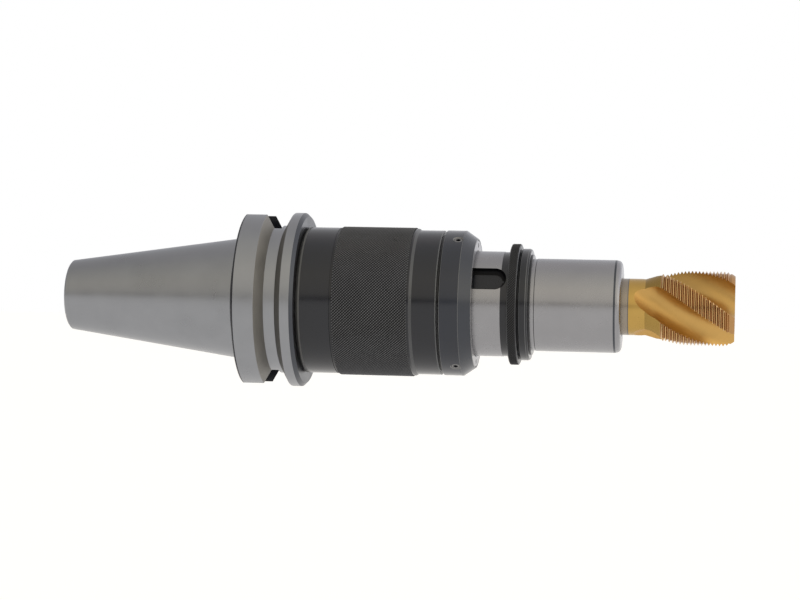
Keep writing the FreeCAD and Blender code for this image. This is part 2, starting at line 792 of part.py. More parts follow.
def ring_retainer():
    """Open snap ring in the nose groove that keeps the release ring on."""
    body = new_body("ring_retainer")
    rear = retainer_rear + s.float_gap / 2
    front = rear + s.retainer_thickness
    bore = s.nose_radius - s.retainer_depth + s.seat_fit
    outer = s.retainer_radius
    revolve(body, "snap_ring", [(rear, bore), (rear, outer), (front, outer), (front, bore)])
    gap = raised_sketch(body, "snap_ring_gap_outline", 180, zero)
    add_outline(gap, box_points(rear - CLEAR, front + CLEAR, s.retainer_gap / 2))
    cut_outwards(body, "snap_ring_gap", gap, outer + CLEAR)
    return body


def adapter_body():
    """Quick-change adapter: shank with tenon, ball groove and flange, and the barrel that holds the tap."""
    body = new_body("adapter_body")
    nose_clear = s.nose_radius + s.square_fit
    cup_floor = s.nose_front + s.float_gap
    groove_root = ball_height - s.ball_radius - s.square_fit
    groove_half_root = s.ball_radius / 2
    groove_half_mouth = s.ball_radius * BALL_GROOVE
    tap_bore = s.tap_shank_radius + s.seat_fit
    grip_rear = s.grip_groove_place
    grip_front = grip_rear + s.grip_groove_width
    seal_front = s.seal_groove_place + s.seal_groove_width
    seal_root = adapter_shank_radius - s.seal_groove_depth
    points = [
        (adapter_rear, s.passage_radius),
        (adapter_rear, adapter_shank_radius - s.adapter_edge),
        (adapter_rear + s.adapter_edge, adapter_shank_radius),
        (s.seal_groove_place, adapter_shank_radius),
        (s.seal_groove_place, seal_root),
        (seal_front, seal_root),
        (seal_front, adapter_shank_radius),
        (ball_place - groove_half_mouth, adapter_shank_radius),
        (ball_place - groove_half_root, groove_root),
        (ball_place + groove_half_root, groove_root),
        (ball_place + groove_half_mouth, adapter_shank_radius),
        (cup_floor, adapter_shank_radius),
        (cup_floor, nose_clear),
        (adapter_face, nose_clear),
        (adapter_face, s.adapter_flange_radius),
        (s.adapter_flange_front, s.adapter_flange_radius),
        (s.adapter_flange_front, s.adapter_radius),
        (s.adapter_front - s.adapter_edge, s.adapter_radius),
        (s.adapter_front, s.adapter_radius - s.adapter_edge),
        (s.adapter_front, tap_bore + s.adapter_edge),
        (s.adapter_front - s.adapter_edge, tap_bore),
        (grip_front, tap_bore),
        (grip_front, tap_bore + s.grip_groove_depth),
        (grip_rear, tap_bore + s.grip_groove_depth),
        (grip_rear, tap_bore),
        (square_socket_front, tap_bore),
        (square_socket_front, s.passage_radius),
    ]
    revolve(body, "adapter", points)
    half_square = s.tap_square / 2 + s.square_fit
    square_rear = s.tap_rear - square_margin
    socket = raised_sketch(body, "square_socket_outline", 0, zero)
    add_outline(socket, box_points(square_rear, square_socket_front, half_square))
    feature = body.newObject("PartDesign::Pocket", "square_socket")
    feature.Profile = socket
    feature.SideType = "Symmetric"
    bind(feature, "Length", half_square * 2)
    document.recompute()
    side = raised_sketch(body, "tenon_side_outline", 90, s.tenon_width / 2)
    shoulder = s.float_bore_rear + s.float_gap
    add_outline(side, box_points(adapter_rear - CLEAR, shoulder, adapter_shank_radius + CLEAR))
    cut = cut_outwards(body, "tenon_side", side, adapter_shank_radius + CLEAR)
    repeat_round(body, "tenon_sides", cut, TENON_SIDES)
    return body


def adapter_collar():
    """Black ring pressed over the adapter flange."""
    body = new_body("adapter_collar")
    bore = s.adapter_flange_radius + s.seat_fit
    edge = s.collar_edge / 2
    points = [
        (adapter_face, bore),
        (adapter_face, s.collar_radius - edge),
        (adapter_face + edge, s.collar_radius),
        (s.collar_front - s.collar_edge, s.collar_radius),
        (s.collar_front, s.collar_radius - s.collar_edge),
        (s.collar_front, bore),
    ]
    revolve(body, "collar", points)
    return body


def rubber_ring(label, middle, inner, outer):
    """Rubber ring of round section that fills a groove between two radii."""
    torus = document.addObject("Part::Torus", label)
    torus.Label = label
    bind(torus, "Radius1", (inner + outer) / 2)
    bind(torus, "Radius2", (outer - inner) / 2 - s.seat_fit)
    torus.Placement = FreeCAD.Placement(
        FreeCAD.Vector(number(middle), 0, 0), FreeCAD.Rotation(FreeCAD.Vector(0, 1, 0), 90)
    )
    torus.setExpression("Placement.Base.x", middle.text)
    return torus


def tap():
    """Spiral-fluted machine tap with a square shank; the thread stands at its full outside diameter."""
    blank = new_body("tap_blank")
    lead_in_rear = s.tap_front - s.tap_lead_in
    points = [
        (s.tap_rear, zero),
        (s.tap_rear, s.tap_shank_radius - s.tap_edge),
        (s.tap_rear + s.tap_edge, s.tap_shank_radius),
        (s.tap_cone_rear, s.tap_shank_radius),
        (s.tap_thread_rear, s.tap_neck_radius),
        (s.tap_thread_rear + s.tap_edge, s.tap_thread_radius),
        (lead_in_rear, s.tap_thread_radius),
        (s.tap_front, s.tap_tip_radius),
        (s.tap_front, zero),
    ]
    revolve(blank, "tap_blank_turned", points)
    square_front = s.tap_rear + s.tap_square_length
    flat = raised_sketch(blank, "square_flat_outline", 0, s.tap_square / 2)
    add_outline(flat, box_points(s.tap_rear - CLEAR, square_front, s.tap_shank_radius + CLEAR))
    cut = cut_outwards(blank, "square_flat", flat, s.tap_shank_radius + CLEAR)
    repeat_round(blank, "square_flats", cut, SQUARE_SIDES)
    cosine = math.cos(math.radians(number(s.flute_half_angle)))
    radius = s.tap_thread_radius
    core = s.flute_core
    # a circle through both edges of the flute that also touches the core
    centre = (radius * radius - core * core) / ((radius * cosine - core) * 2)
    lay_along_axis = FreeCAD.Rotation(FreeCAD.Vector(0, 1, 0), 90)
    height = s.tap_front - s.flute_rear + CLEAR
    cutters = []
    for flute in range(FLUTES):
        turn = FreeCAD.Rotation(FreeCAD.Vector(1, 0, 0), FLUTE_START + 360 / FLUTES * flute)
        start = FreeCAD.Vector(number(s.flute_rear), 0, 0)
        path = document.addObject("Part::Helix", "flute_path_" + str(flute + 1))
        bind(path, "Pitch", s.flute_lead)
        bind(path, "Height", height)
        bind(path, "Radius", centre)
        path.LocalCoord = "Right-handed"
        path.Placement = FreeCAD.Placement(start, turn * lay_along_axis)
        path.setExpression("Placement.Base.x", s.flute_rear.text)
        section = document.addObject("Part::Circle", "flute_section_" + str(flute + 1))
        bind(section, "Radius", centre - core)
        offset = turn.multVec(FreeCAD.Vector(0, 0, -number(centre)))
        section.Placement = FreeCAD.Placement(start + offset, turn * lay_along_axis)
        document.recompute()
        sweep = document.addObject("Part::Sweep", "flute_cutter_" + str(flute + 1))
        sweep.Sections = [section]
        sweep.Spine = (path, ["Edge1"])
        sweep.Solid = True
        sweep.Frenet = True
        cutters.append(sweep)
    document.recompute()
    all_cutters = document.addObject("Part::MultiFuse", "flute_cutters")
    all_cutters.Shapes = cutters
    result = document.addObject("Part::Cut", "tap")
    result.Base = blank
    result.Tool = all_cutters
    result.Label = "tap"
    document.recompute()
    return result


def check(pieces):
    """Stop if any object failed or any piece is not one valid solid."""
    for item in document.Objects:
        if "Invalid" in item.State or "Error" in item.State:
            raise RuntimeError(item.Name + " is " + ", ".join(item.State))
    for piece in pieces:
        shape = piece.Shape
        if shape.isNull() or not shape.isValid() or len(shape.Solids) != 1:
            raise RuntimeError(piece.Label + " is not one valid solid")


def build():
    """Make every piece."""
    push_seat_front = s.spring_bore_rear + s.push_seat
    pull_seat_rear = s.bush_rear - s.pull_seat
    piston_front = s.float_rear + s.piston_length
    slide_gap = s.float_gap * 3
    pieces = [taper_shank(), housing_sleeve(), front_nut(), front_cap_ring()]
    pieces += [nut_set_screw(index) for index in range(NUT_SCREWS)]
    wiper_outer = s.nut_mouth - s.seat_fit
    pieces.append(ring("wiper_seal", bush_front, wiper_front, s.wiper_bore, wiper_outer))
    pieces.append(front_guide_bush())
    pieces += [drive_key(index) for index in range(KEYS)]
    push_bore = s.passage_radius + s.mouth_edge
    push_outer = s.spring_bore - slide_gap
    pieces.append(ring("push_spring_seat", s.spring_bore_rear, push_seat_front, push_bore, push_outer))
    pull_bore = s.float_radius + slide_gap
    pull_outer = s.tube_bore - slide_gap
    pieces.append(ring("pull_spring_seat", pull_seat_rear, s.bush_rear, pull_bore, pull_outer))
    push = (push_seat_front, s.float_rear, s.push_wire, s.push_coil_radius, s.push_turns)
    pieces.append(coil_spring("push_spring", *push))
    pull = (piston_front, pull_seat_rear, s.pull_wire, s.pull_coil_radius, s.pull_turns)
    pieces.append(coil_spring("pull_spring", *pull))
    pieces.append(float_sleeve())
    pieces += [lock_ball(index) for index in range(BALLS)]
    pieces += [release_ring(), ring_retainer(), adapter_body(), adapter_collar()]
    seal_middle = s.seal_groove_place + s.seal_groove_width / 2
    seal_root = adapter_shank_radius - s.seal_groove_depth
    pieces.append(rubber_ring("adapter_seal_ring", seal_middle, seal_root, s.float_bore))
    grip_middle = s.grip_groove_place + s.grip_groove_width / 2
    grip_floor = s.tap_shank_radius + s.seat_fit + s.grip_groove_depth
    pieces.append(rubber_ring("tap_grip_ring", grip_middle, s.tap_shank_radius, grip_floor))
    pieces.append(tap())
    document.recompute()
    return pieces


pieces = build()
check(pieces)
os.makedirs("parts", exist_ok=True)
for piece in pieces:
    piece.Shape.exportStep("parts/" + piece.Label + ".step")
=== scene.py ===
"""Looks of a tension compression tap holder with its spiral-fluted tap.

The object lies along X: taper at -X, tap at +X, origin on the gauge line of the taper, lengths in metres.
"""

import math

import bpy
from bpy.props import FloatProperty, FloatVectorProperty, IntProperty, PointerProperty
from bpy.types import Operator, Panel, PropertyGroup
from mathutils import Matrix, Vector


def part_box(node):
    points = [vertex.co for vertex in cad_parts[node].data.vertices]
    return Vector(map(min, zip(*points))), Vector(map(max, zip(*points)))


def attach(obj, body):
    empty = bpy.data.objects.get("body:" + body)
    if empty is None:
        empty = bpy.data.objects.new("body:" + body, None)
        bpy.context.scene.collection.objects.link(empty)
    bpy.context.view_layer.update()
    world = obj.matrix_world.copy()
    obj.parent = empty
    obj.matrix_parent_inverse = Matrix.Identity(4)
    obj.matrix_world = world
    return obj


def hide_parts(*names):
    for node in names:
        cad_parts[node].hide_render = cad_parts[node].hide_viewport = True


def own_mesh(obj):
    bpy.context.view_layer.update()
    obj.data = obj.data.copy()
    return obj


bl_info = {
    "name": "Tap Holder Builder",
    "version": (1, 0, 0),
    "blender": (4, 5, 0),
    "location": "View3D > Sidebar > Tap Holder",
    "description": "Builds the finished look of a floating tap holder around its packed model",
    "category": "Add Mesh",
}

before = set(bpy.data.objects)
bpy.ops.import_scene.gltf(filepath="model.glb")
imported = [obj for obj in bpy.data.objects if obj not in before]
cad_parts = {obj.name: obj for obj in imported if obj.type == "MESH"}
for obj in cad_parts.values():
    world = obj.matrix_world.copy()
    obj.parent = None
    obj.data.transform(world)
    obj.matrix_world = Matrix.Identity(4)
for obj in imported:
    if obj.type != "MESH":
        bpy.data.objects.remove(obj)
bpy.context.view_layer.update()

MM = 0.001
FULL_TURN = 2 * math.pi
HAIR = 0.1 * MM  # how far a repaint reaches past its band, or stays inside it
MERGE = 0.001 * MM  # points closer than this become one

# light of the room by the angle round the long axis, from behind and below, past the front, to behind and above
ROOM_LIGHT = (
    (-180, (1.00, 1.00, 1.03)),
    (-160, (1.00, 1.00, 1.04)),
    (-140, (0.84, 0.87, 0.93)),
    (-120, (1.03, 1.07, 1.13)),
    (-100, (1.05, 1.07, 1.12)),
    (-80, (0.96, 0.975, 1.01)),
    (-60, (1.0, 1.0, 1.0)),
    (-40, (1.025, 1.01, 0.98)),
    (-20, (1.0, 0.97, 0.93)),
    (-8, (0.98, 0.95, 0.90)),
    (-3, (0.35, 0.33, 0.30)),
    (3, (0.35, 0.33, 0.30)),
    (8, (1.05, 1.0, 0.90)),
    (20, (1.09, 1.03, 0.92)),
    (40, (1.12, 1.06, 0.93)),
    (60, (1.0, 0.96, 0.87)),
    (80, (0.90, 0.87, 0.81)),
    (100, (0.80, 0.78, 0.77)),
    (120, (0.79, 0.76, 0.76)),
    (140, (0.75, 0.75, 0.77)),
    (160, (0.80, 0.80, 0.84)),
    (180, (1.00, 1.00, 1.03)),
)

# half the light of the room from the taper's side to the tap's side
ROOM_SIDES = ((0.0, 0.32), (1.0, 0.85), (0.25, 0.375), (0.5, 0.5), (0.8, 0.6), (0.93, 0.8))


def size(label, about, millimetres):
    """A length property with its default given in millimetres."""
    return FloatProperty(
        name=label, description=about, default=millimetres * MM, subtype="DISTANCE", unit="LENGTH", precision=5
    )


def turn(label, about, degrees):
    """An angle property with its default given in degrees."""
    return FloatProperty(
        name=label, description=about, default=math.radians(degrees), subtype="ANGLE", unit="ROTATION"
    )


def tint(label, about, red, green, blue):
    """A colour property."""
    return FloatVectorProperty(
        name=label, description=about, default=(red, green, blue), subtype="COLOR", size=3, min=0, max=1
    )


def low(node):
    """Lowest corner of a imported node."""
    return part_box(node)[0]


def high(node):
    """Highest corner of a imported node."""
    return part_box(node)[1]


def ends(node):
    """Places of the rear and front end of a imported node."""
    return low(node).x, high(node).x


class TapHolderShankSizes(PropertyGroup):
    """Sizes of the taper, flange and grooves."""

    gauge_radius: size("Gauge radius", "Radius of the taper at the gauge line", 34.925)
    slope: FloatProperty(name="Taper slope", description="Radius gained for each length", default=7 / 48)
    tip_edge: size("Tip edge", "Chamfer at the small end of the taper", 1.0)
    dark_line: size("Dark line", "Width of the dark lines either side of the neck", 0.5)
    relief_radius: size("Relief radius", "Radius of the neck between taper and flange", 33.9)
    relief_length: size("Relief length", "Length of the neck between taper and flange", 3.0)
    flange_front: size("Flange front", "Place of the front face of the flange", 38.0)
    flange_edge: size("Flange edge", "Chamfer at the front of the flange", 2.0)
    rear_edge: size("Rear edge", "Chamfer at the rear of the flange", 0.6)
    groove_place: size("Groove place", "Middle of the gripper groove", 23.2)
    groove_mouth: size("Groove mouth", "Width of the gripper groove at the flange surface", 15.0)
    groove_root: size("Groove root", "Radius at the bottom of the gripper groove", 42.5)
    groove_flank: turn("Groove flank", "Lean of the groove flanks", 30.0)
    slot_width: size("Slot width", "Width of each drive slot", 25.7)
    slot_floor: size("Slot floor", "Distance of the slot floor from the axis", 35.4)
    slot_front: size("Slot front", "Place of the front wall of each drive slot", 24.0)
    tube_radius: size("Tube radius", "Radius of the tube under the housing", 38.55)
    thread_radius: size("Tube thread radius", "Radius of the tube under the nut", 37.0)
    thread_rear: size("Tube thread start", "Place where the tube thread begins", 118.2)
    tube_bore: size("Tube bore", "Radius of the bore in the tube", 35.0)
    tube_bore_rear: size("Tube bore depth", "Place of the bottom of the tube bore", 32.0)
    spring_bore: size("Spring bore", "Radius of the bore for the push spring", 24.0)
    spring_bore_rear: size("Spring bore depth", "Place of the bottom of the spring bore", -20.0)
    passage: size("Passage", "Radius of the coolant passage", 8.0)
    stud_radius: size("Stud radius", "Radius of the pull stud hole", 10.5)
    stud_depth: size("Stud depth", "Depth of the pull stud hole", 60.0)
    pilot_radius: size("Pilot radius", "Radius of the pull stud pilot bore", 12.5)
    pilot_depth: size("Pilot depth", "Depth of the pull stud pilot bore", 15.0)


class TapHolderHousingSizes(PropertyGroup):
    """Sizes of the black housing sleeve."""

    rear_radius: size("Rear band radius", "Radius of the smooth rear band", 41.9)
    rear_edge: size("Rear edge", "Chamfer at the rear of the sleeve", 1.4)
    # painted highlight: width of the light band painted in front of the rear chamfer
    painted_highlight_width: size("Rubbed width", "Width of the rubbed line in front of that chamfer", 1.0)
    line_place: size("Line place", "Place of the dividing line before the knurl", 57.2)
    line_width: size("Line width", "Width of the dividing line", 1.0)
    line_depth: size("Line depth", "Depth of the dividing line", 0.6)
    knurl_radius: size("Knurl radius", "Radius over the knurl", 42.65)
    knurl_depth: size("Knurl depth", "Height of the knurl diamonds", 0.48)
    knurl_front: size("Knurl front", "Place where the knurl ends", 101.3)
    knurl_edge: size("Knurl edge", "Length of the chamfer after the knurl", 2.4)
    knurl_rows: IntProperty(name="Knurl rows", description="Diamonds along the sleeve", default=25)
    knurl_count: IntProperty(name="Knurl count", description="Diamonds around the sleeve", default=162)
    band_radius: size("Front band radius", "Radius of the smooth front band", 41.25)
    band_edge: size("Front edge", "Chamfer at the front of the sleeve", 0.5)
    bore: size("Bore", "Radius of the sleeve bore", 38.6)


class TapHolderNutSizes(PropertyGroup):
    """Sizes of the front nut, its screws and the cap ring."""

    edge: size("Nut edge", "Chamfer at the rear of the nut", 0.2)
    shoulder: size("Shoulder", "Place where the long nose chamfer begins", 129.7)
    nose_radius: size("Nose radius", "Radius of the nose of the nut", 36.9)
    mouth: size("Mouth", "Radius of the opening in the nose", 36.25)
    bore: size("Bore", "Radius of the thread in the nut", 37.05)
    bore_front: size("Bore front", "Place where the thread in the nut ends", 130.0)
    screw_place: size("Screw place", "Place of the set screws", 127.0)
    screw_radius: size("Screw radius", "Radius of the set screws", 2.5)
    screw_hole: size("Screw hole", "Radius of the holes for the set screws", 2.55)
    screw_lip: size("Screw lip", "Countersink round each screw hole", 0.55)
    screw_top: size("Screw top", "Distance of the screw face from the axis", 41.0)
    screw_socket: size("Screw socket", "Width across the flats of the socket", 2.5)
    screw_socket_depth: size("Socket depth", "Depth of the socket", 2.2)
    cap_bore: size("Cap bore", "Radius of the bore of the cap ring", 30.2)
    cap_edge: size("Cap edge", "Chamfer on the cap ring", 0.4)
    pin_radius: size("Pin hole radius", "Radius of the spanner holes", 1.4)
    pin_circle: size("Pin hole circle", "Distance of the spanner holes from the axis", 33.2)
    pin_depth: size("Pin hole depth", "Depth of the spanner holes", 2.0)


class TapHolderFloatSizes(PropertyGroup):
    """Sizes of the sliding sleeve."""

    radius: size("Radius", "Radius of the ground barrel", 29.9)
    piston_radius: size("Piston radius", "Radius of the piston end", 34.95)
    piston_rear: size("Piston rear", "Place of the rear face of the piston", 44.0)
    piston_front: size("Piston front", "Place of the front face of the piston", 52.0)
    spigot_radius: size("Spigot radius", "Radius of the spigot in the push spring", 15.8)
    passage: size("Passage", "Radius of the bore behind the adapter", 12.0)
    band_rear: size("Band rear", "Place where the black band begins", 152.0)
    band_drop: size("Band drop", "How far the black band lies below the ground barrel", 0.2)
    shoulder: size("Shoulder", "Place of the shoulder behind the release ring", 155.8)
    nose_radius: size("Nose radius", "Radius of the nose", 26.5)
    bore: size("Adapter bore", "Radius of the bore for the adapter", 22.0)
    bore_rear: size("Adapter bore depth", "Place of the bottom of the adapter bore", 118.0)
    key_angle: turn("Keyway angle", "Turn of the first keyway from +Z", 61.0)
    keyway_width: size("Keyway width", "Width of each keyway", 13.6)
    keyway_floor: size("Keyway floor", "Distance of the keyway floor from the axis", 25.4)
    keyway_rear: size("Keyway rear", "Place of the hidden end of each keyway", 86.0)
    keyway_front: size("Keyway front", "Place of the round end that shows", 155.0)
    keyway_corner: size("Keyway corner", "Rounding between the floor and the walls of each keyway", 2.4)


class TapHolderRingSizes(PropertyGroup):
    """Sizes of the release ring."""

    edge: size("Ring edge", "Chamfer of the release ring", 0.7)
    bore: size("Ring bore", "Radius of the ring's bore", 26.55)
    knurl_depth: size("Knurl depth", "Height of the knurl diamonds", 0.32)
    knurl_rows: IntProperty(name="Knurl rows", description="Diamonds along the ring", default=3)
    knurl_count: IntProperty(name="Knurl count", description="Diamonds around the ring", default=144)


class TapHolderAdapterSizes(PropertyGroup):
    """Sizes of the quick-change adapter and its black collar."""

    shank_radius: size("Shank radius", "Radius of the shank in the float sleeve", 21.95)
    flange_radius: size("Flange radius", "Radius of the adapter flange", 28.45)
    flange_front: size("Flange front", "Place of the front face of the flange", 168.5)
    radius: size("Radius", "Radius of the ground barrel", 26.3)
    edge: size("Edge", "Length of the dark ring before the nose of the adapter", 1.1)
    nose: size("Nose", "Length of the rounded nose", 2.9)
    nose_reach: size("Nose reach", "How far the nose stands before the packed front face", 1.9)
    cup_radius: size("Cup radius", "Radius of the recess over the nose", 26.6)
    cup_floor: size("Cup floor", "Place of the bottom of that recess", 164.5)
    tap_bore: size("Tap bore", "Radius of the bore for the tap", 16.05)
    collar_bore: size("Collar bore", "Radius of the bore of the collar", 28.5)
    collar_edge: size("Collar edge", "Chamfer at the front of the collar", 1.2)
    collar_reach: size("Collar reach", "How far the collar's lip reaches over the adapter flange", 1.0)
    undercut: size("Undercut", "Depth of the undercut in front of the flange", 0.25)
    undercut_length: size("Undercut length", "Length of that undercut", 2.0)


class TapHolderSpringSizes(PropertyGroup):
    """Sizes of the two springs inside."""

    push_wire: size("Push spring wire", "Wire of the spring behind the sliding sleeve", 5.0)
    push_turns: IntProperty(name="Push spring turns", description="Turns of that spring", default=7)
    pull_wire: size("Pull spring wire", "Wire of the spring in front of the piston", 3.8)
    pull_turns: IntProperty(name="Pull spring turns", description="Turns of that spring", default=7)
    travel: size("Travel", "Longest slide of the sleeve", 15.0)


class TapHolderTapSizes(PropertyGroup):
    """Sizes of the tap."""

    shank_radius: size("Shank radius", "Radius of the tap shank", 16.0)
    gold_rear: size("Gold start", "Place where the gold coating begins", 222.8)
    gold_line: size("Gold line", "Width of the dark line at the start of the coating", 0.5)
    cone_rear: size("Cone start", "Place where the cone begins", 232.0)
    thread_rear: size("Thread start", "Place where the thread begins", 240.7)
    neck_radius: size("Neck radius", "Radius of the cone where it meets the thread", 19.8)
    thread_radius: size("Thread radius", "Outside radius of the thread", 21.0)
    pitch: size("Pitch", "Distance between thread crests", 2.0)
    thread_depth: size("Thread depth", "Height of the thread", 1.2)
    root_flat: size("Root flat", "Flat width at the bottom of the thread", 0.35)
    flank_angle: turn("Flank angle", "Lean of each flank of the thread", 30.0)
    tip_radius: size("Tip radius", "Radius at the front face of the tap", 19.2)
    lead_in: size("Lead in", "Length of the tapered threads", 5.0)
    flute_core: size("Flute core", "Radius left at the bottom of the flutes", 11.0)
    flute_half: turn("Flute half angle", "Half the angle of each flute at the thread", 28.5)
    flute_lead: size("Flute lead", "Length of one whole turn of the flutes", 185.0)
    flute_rear: size("Flute start", "Place where the flutes reach their full depth", 237.0)
    flute_start: turn("Flute angle", "Turn of the first flute from -Z at that place", 77.9)
    flutes: IntProperty(name="Flutes", description="Number of flutes", default=4)


class TapHolderColours(PropertyGroup):
    """Colours of the finishes."""

    ground_steel: tint("Ground steel", "Float sleeve and adapter", 0.288, 0.287, 0.299)
    taper_steel: tint("Taper steel", "Taper and flange", 0.265, 0.272, 0.288)
    # painted shade: dark steel tint for the flange's front face and chamfer, and for the ring before the adapter's
    # nose
    flange_face: tint("Flange face", "Front face and front chamfer of the flange", 0.070, 0.075, 0.085)
    # painted light: half-metallic tint that keeps the groove's rear flank light where the steel's reflection is
    # dark
    groove_flank: tint("Groove flanks", "Rear flank of the gripper groove", 0.235, 0.228, 0.215)
    groove_shade: tint("Groove shade", "Front flank of the gripper groove", 0.120, 0.117, 0.112)
    shank_steel: tint("Shank steel", "Bare shank of the tap", 0.288, 0.250, 0.205)
    black_oxide: tint("Black oxide", "Housing and collar", 0.0045, 0.0057, 0.0105)
    nut_black: tint("Nut black", "Front nut", 0.0130, 0.0165, 0.0270)
    # painted light: the long chamfer on the nut's nose is tinted lighter than the nut
    nut_nose: tint("Nut nose", "Long chamfer on the nose of the nut", 0.023, 0.028, 0.040)
    # the chamfer after the housing knurl is coloured lighter than the black oxide
    rubbed_black: tint("Rubbed black", "Chamfer after the housing knurl", 0.060, 0.062, 0.067)
    knurl_dark: tint("Knurl dark", "Grooves of the knurls", 0.004, 0.004, 0.005)
    # ridges of the housing knurl: partly rubbed wear, partly painted highlight
    knurl_ridge_wear_and_sheen: tint("Knurl light", "Ridges of the housing knurl", 0.175, 0.180, 0.195)
    # ridges of the release ring knurl: partly rubbed wear, partly painted highlight
    ring_ridge_wear_and_sheen: tint("Ring light", "Ridges of the release ring knurl", 0.105, 0.107, 0.112)
    # rubbed wear on edges of the black parts; also a painted highlight on the housing's front chamfer
    worn_edge: tint("Worn edge", "Edges where the black has rubbed off", 0.135, 0.138, 0.142)
    # painted highlight: light grey, not metallic, for the rear chamfer of the housing
    rubbed_line: tint("Rubbed line", "Chamfer at the rear of the housing", 0.095, 0.096, 0.096)
    screw_steel: tint("Screw steel", "Faces and lips of the set screws", 0.20, 0.20, 0.20)
    gold: tint("Gold coating", "Front of the shank and the cone", 0.465, 0.296, 0.085)
    gold_thread: tint("Gold on the thread", "Flanks and crests of the thread", 0.44, 0.25, 0.105)
    # painted shade: the cone behind the thread is tinted darker than the gold
    gold_cone: tint("Gold on the cone", "Cone behind the thread", 0.345, 0.220, 0.062)
    gold_crest: tint("Gold on the crests", "Crests of the thread", 0.80, 0.56, 0.26)
    # painted light: the inside of the flutes is tinted lighter than the gold
    gold_flute: tint("Gold in the flutes", "Inside of the flutes", 0.53, 0.325, 0.105)
    bronze: tint("Bronze", "Guide bush", 0.42, 0.25, 0.09)
    rubber: tint("Rubber", "Seals", 0.012, 0.012, 0.012)
    floor: tint("Floor", "Floor and backdrop", 0.9, 0.9, 0.9)


class TapHolderStageSizes(PropertyGroup):
    """Camera and light."""

    focal: FloatProperty(name="Focal length", description="Lens in millimetres on a 36 mm sensor", default=103.7)
    eye_x: size("Camera along", "Place of the camera along the axis", 277.6)
    eye_y: size("Camera away", "Place of the camera in front of the object", -1310.0)
    eye_z: size("Camera height", "Height of the camera", 7.0)
    yaw: turn("Camera yaw", "Turn of the camera towards the taper", 8.08)
    pitch: turn("Camera pitch", "Tilt of the camera", -0.26)
    roll: turn("Camera roll", "Roll of the camera", 1.24)
    floor_drop: size("Floor drop", "How far the floor lies below the axis", 420.0)
    floor_lift: FloatProperty(name="Floor lift", description="Light added to the floor as it is seen", default=0.25)
    steps: IntProperty(name="Turning steps", description="Facets round each turned piece", default=192)


class TapHolderSettings(PropertyGroup):
    """Every size and colour of the tap holder."""

    shank: PointerProperty(type=TapHolderShankSizes)
    housing: PointerProperty(type=TapHolderHousingSizes)
    nut: PointerProperty(type=TapHolderNutSizes)
    float_sleeve: PointerProperty(type=TapHolderFloatSizes)
    ring: PointerProperty(type=TapHolderRingSizes)
    adapter: PointerProperty(type=TapHolderAdapterSizes)
    springs: PointerProperty(type=TapHolderSpringSizes)
    tap: PointerProperty(type=TapHolderTapSizes)
    colours: PointerProperty(type=TapHolderColours)
    stage: PointerProperty(type=TapHolderStageSizes)


def settings():
    """The settings kept on the scene."""
    return bpy.context.scene.tap_holder


# shared shader groups


def new_group(name, inputs, outputs):
    """A new shader group with named sockets, and its input and output nodes."""
    group = bpy.data.node_groups.new(name, "ShaderNodeTree")
    for label, default in inputs:
        socket = group.interface.new_socket(name=label, in_out="INPUT", socket_type="NodeSocketFloat")
        socket.default_value = default
    for label, kind in outputs:
        group.interface.new_socket(name=label, in_out="OUTPUT", socket_type=kind)
    return group, group.nodes.new("NodeGroupInput"), group.nodes.new("NodeGroupOutput")


def math_node(tree, operation, first, second):
    """A math node fed by sockets or numbers."""
    node = tree.nodes.new("ShaderNodeMath")
    node.operation = operation
    for socket, value in zip(node.inputs, (first, second)):
        if isinstance(value, bpy.types.NodeSocket):
            tree.links.new(value, socket)
        elif value is not None:
            socket.default_value = value
    return node.outputs[0]


def turned_coordinates(tree):
    """Place along the axis, distance from it, and the object coordinates."""
    coordinates = tree.nodes.new("ShaderNodeTexCoord").outputs["Object"]
    parts = tree.nodes.new("ShaderNodeSeparateXYZ")
    tree.links.new(coordinates, parts.inputs[0])
    squares = math_node(
        tree, "ADD",
        math_node(tree, "MULTIPLY", parts.outputs["Y"], parts.outputs["Y"]),
        math_node(tree, "MULTIPLY", parts.outputs["Z"], parts.outputs["Z"]),
    )
    radius = math_node(tree, "SQRT", squares, None)
    return parts.outputs["X"], radius, coordinates


def turning_marks_group():
    """Fine rings left by turning or grinding about the axis."""
    name = "turning_marks"
    if name in bpy.data.node_groups:
        return bpy.data.node_groups[name]
    inputs = [("Lines per metre", 9000.0), ("Height", 0.2), ("Distance", 0.00001)]
    outputs = [("Mask", "NodeSocketFloat"), ("Normal", "NodeSocketVector")]
    group, entry, leave = new_group(name, inputs, outputs)
    along, radius, coordinates = turned_coordinates(group)
    run = math_node(group, "ADD", along, math_node(group, "MULTIPLY", radius, 0.83))
    noise = group.nodes.new("ShaderNodeTexNoise")
    noise.noise_dimensions = "1D"
    noise.inputs["Scale"].default_value = 1.0
    noise.inputs["Detail"].default_value = 3.0
    noise.inputs["Roughness"].default_value = 0.65
    group.links.new(math_node(group, "MULTIPLY", run, entry.outputs["Lines per metre"]), noise.inputs["W"])
    drift = group.nodes.new("ShaderNodeTexNoise")
    drift.inputs["Scale"].default_value = 60.0
    drift.inputs["Detail"].default_value = 2.0
    group.links.new(coordinates, drift.inputs["Vector"])
    strength = math_node(group, "ADD", drift.outputs["Fac"], 0.35)
    mask = math_node(group, "MULTIPLY", noise.outputs["Fac"], strength)
    bump = group.nodes.new("ShaderNodeBump")
    group.links.new(entry.outputs["Height"], bump.inputs["Strength"])
    group.links.new(entry.outputs["Distance"], bump.inputs["Distance"])
    group.links.new(mask, bump.inputs["Height"])
    group.links.new(mask, leave.inputs["Mask"])
    group.links.new(bump.outputs["Normal"], leave.inputs["Normal"])
    return group


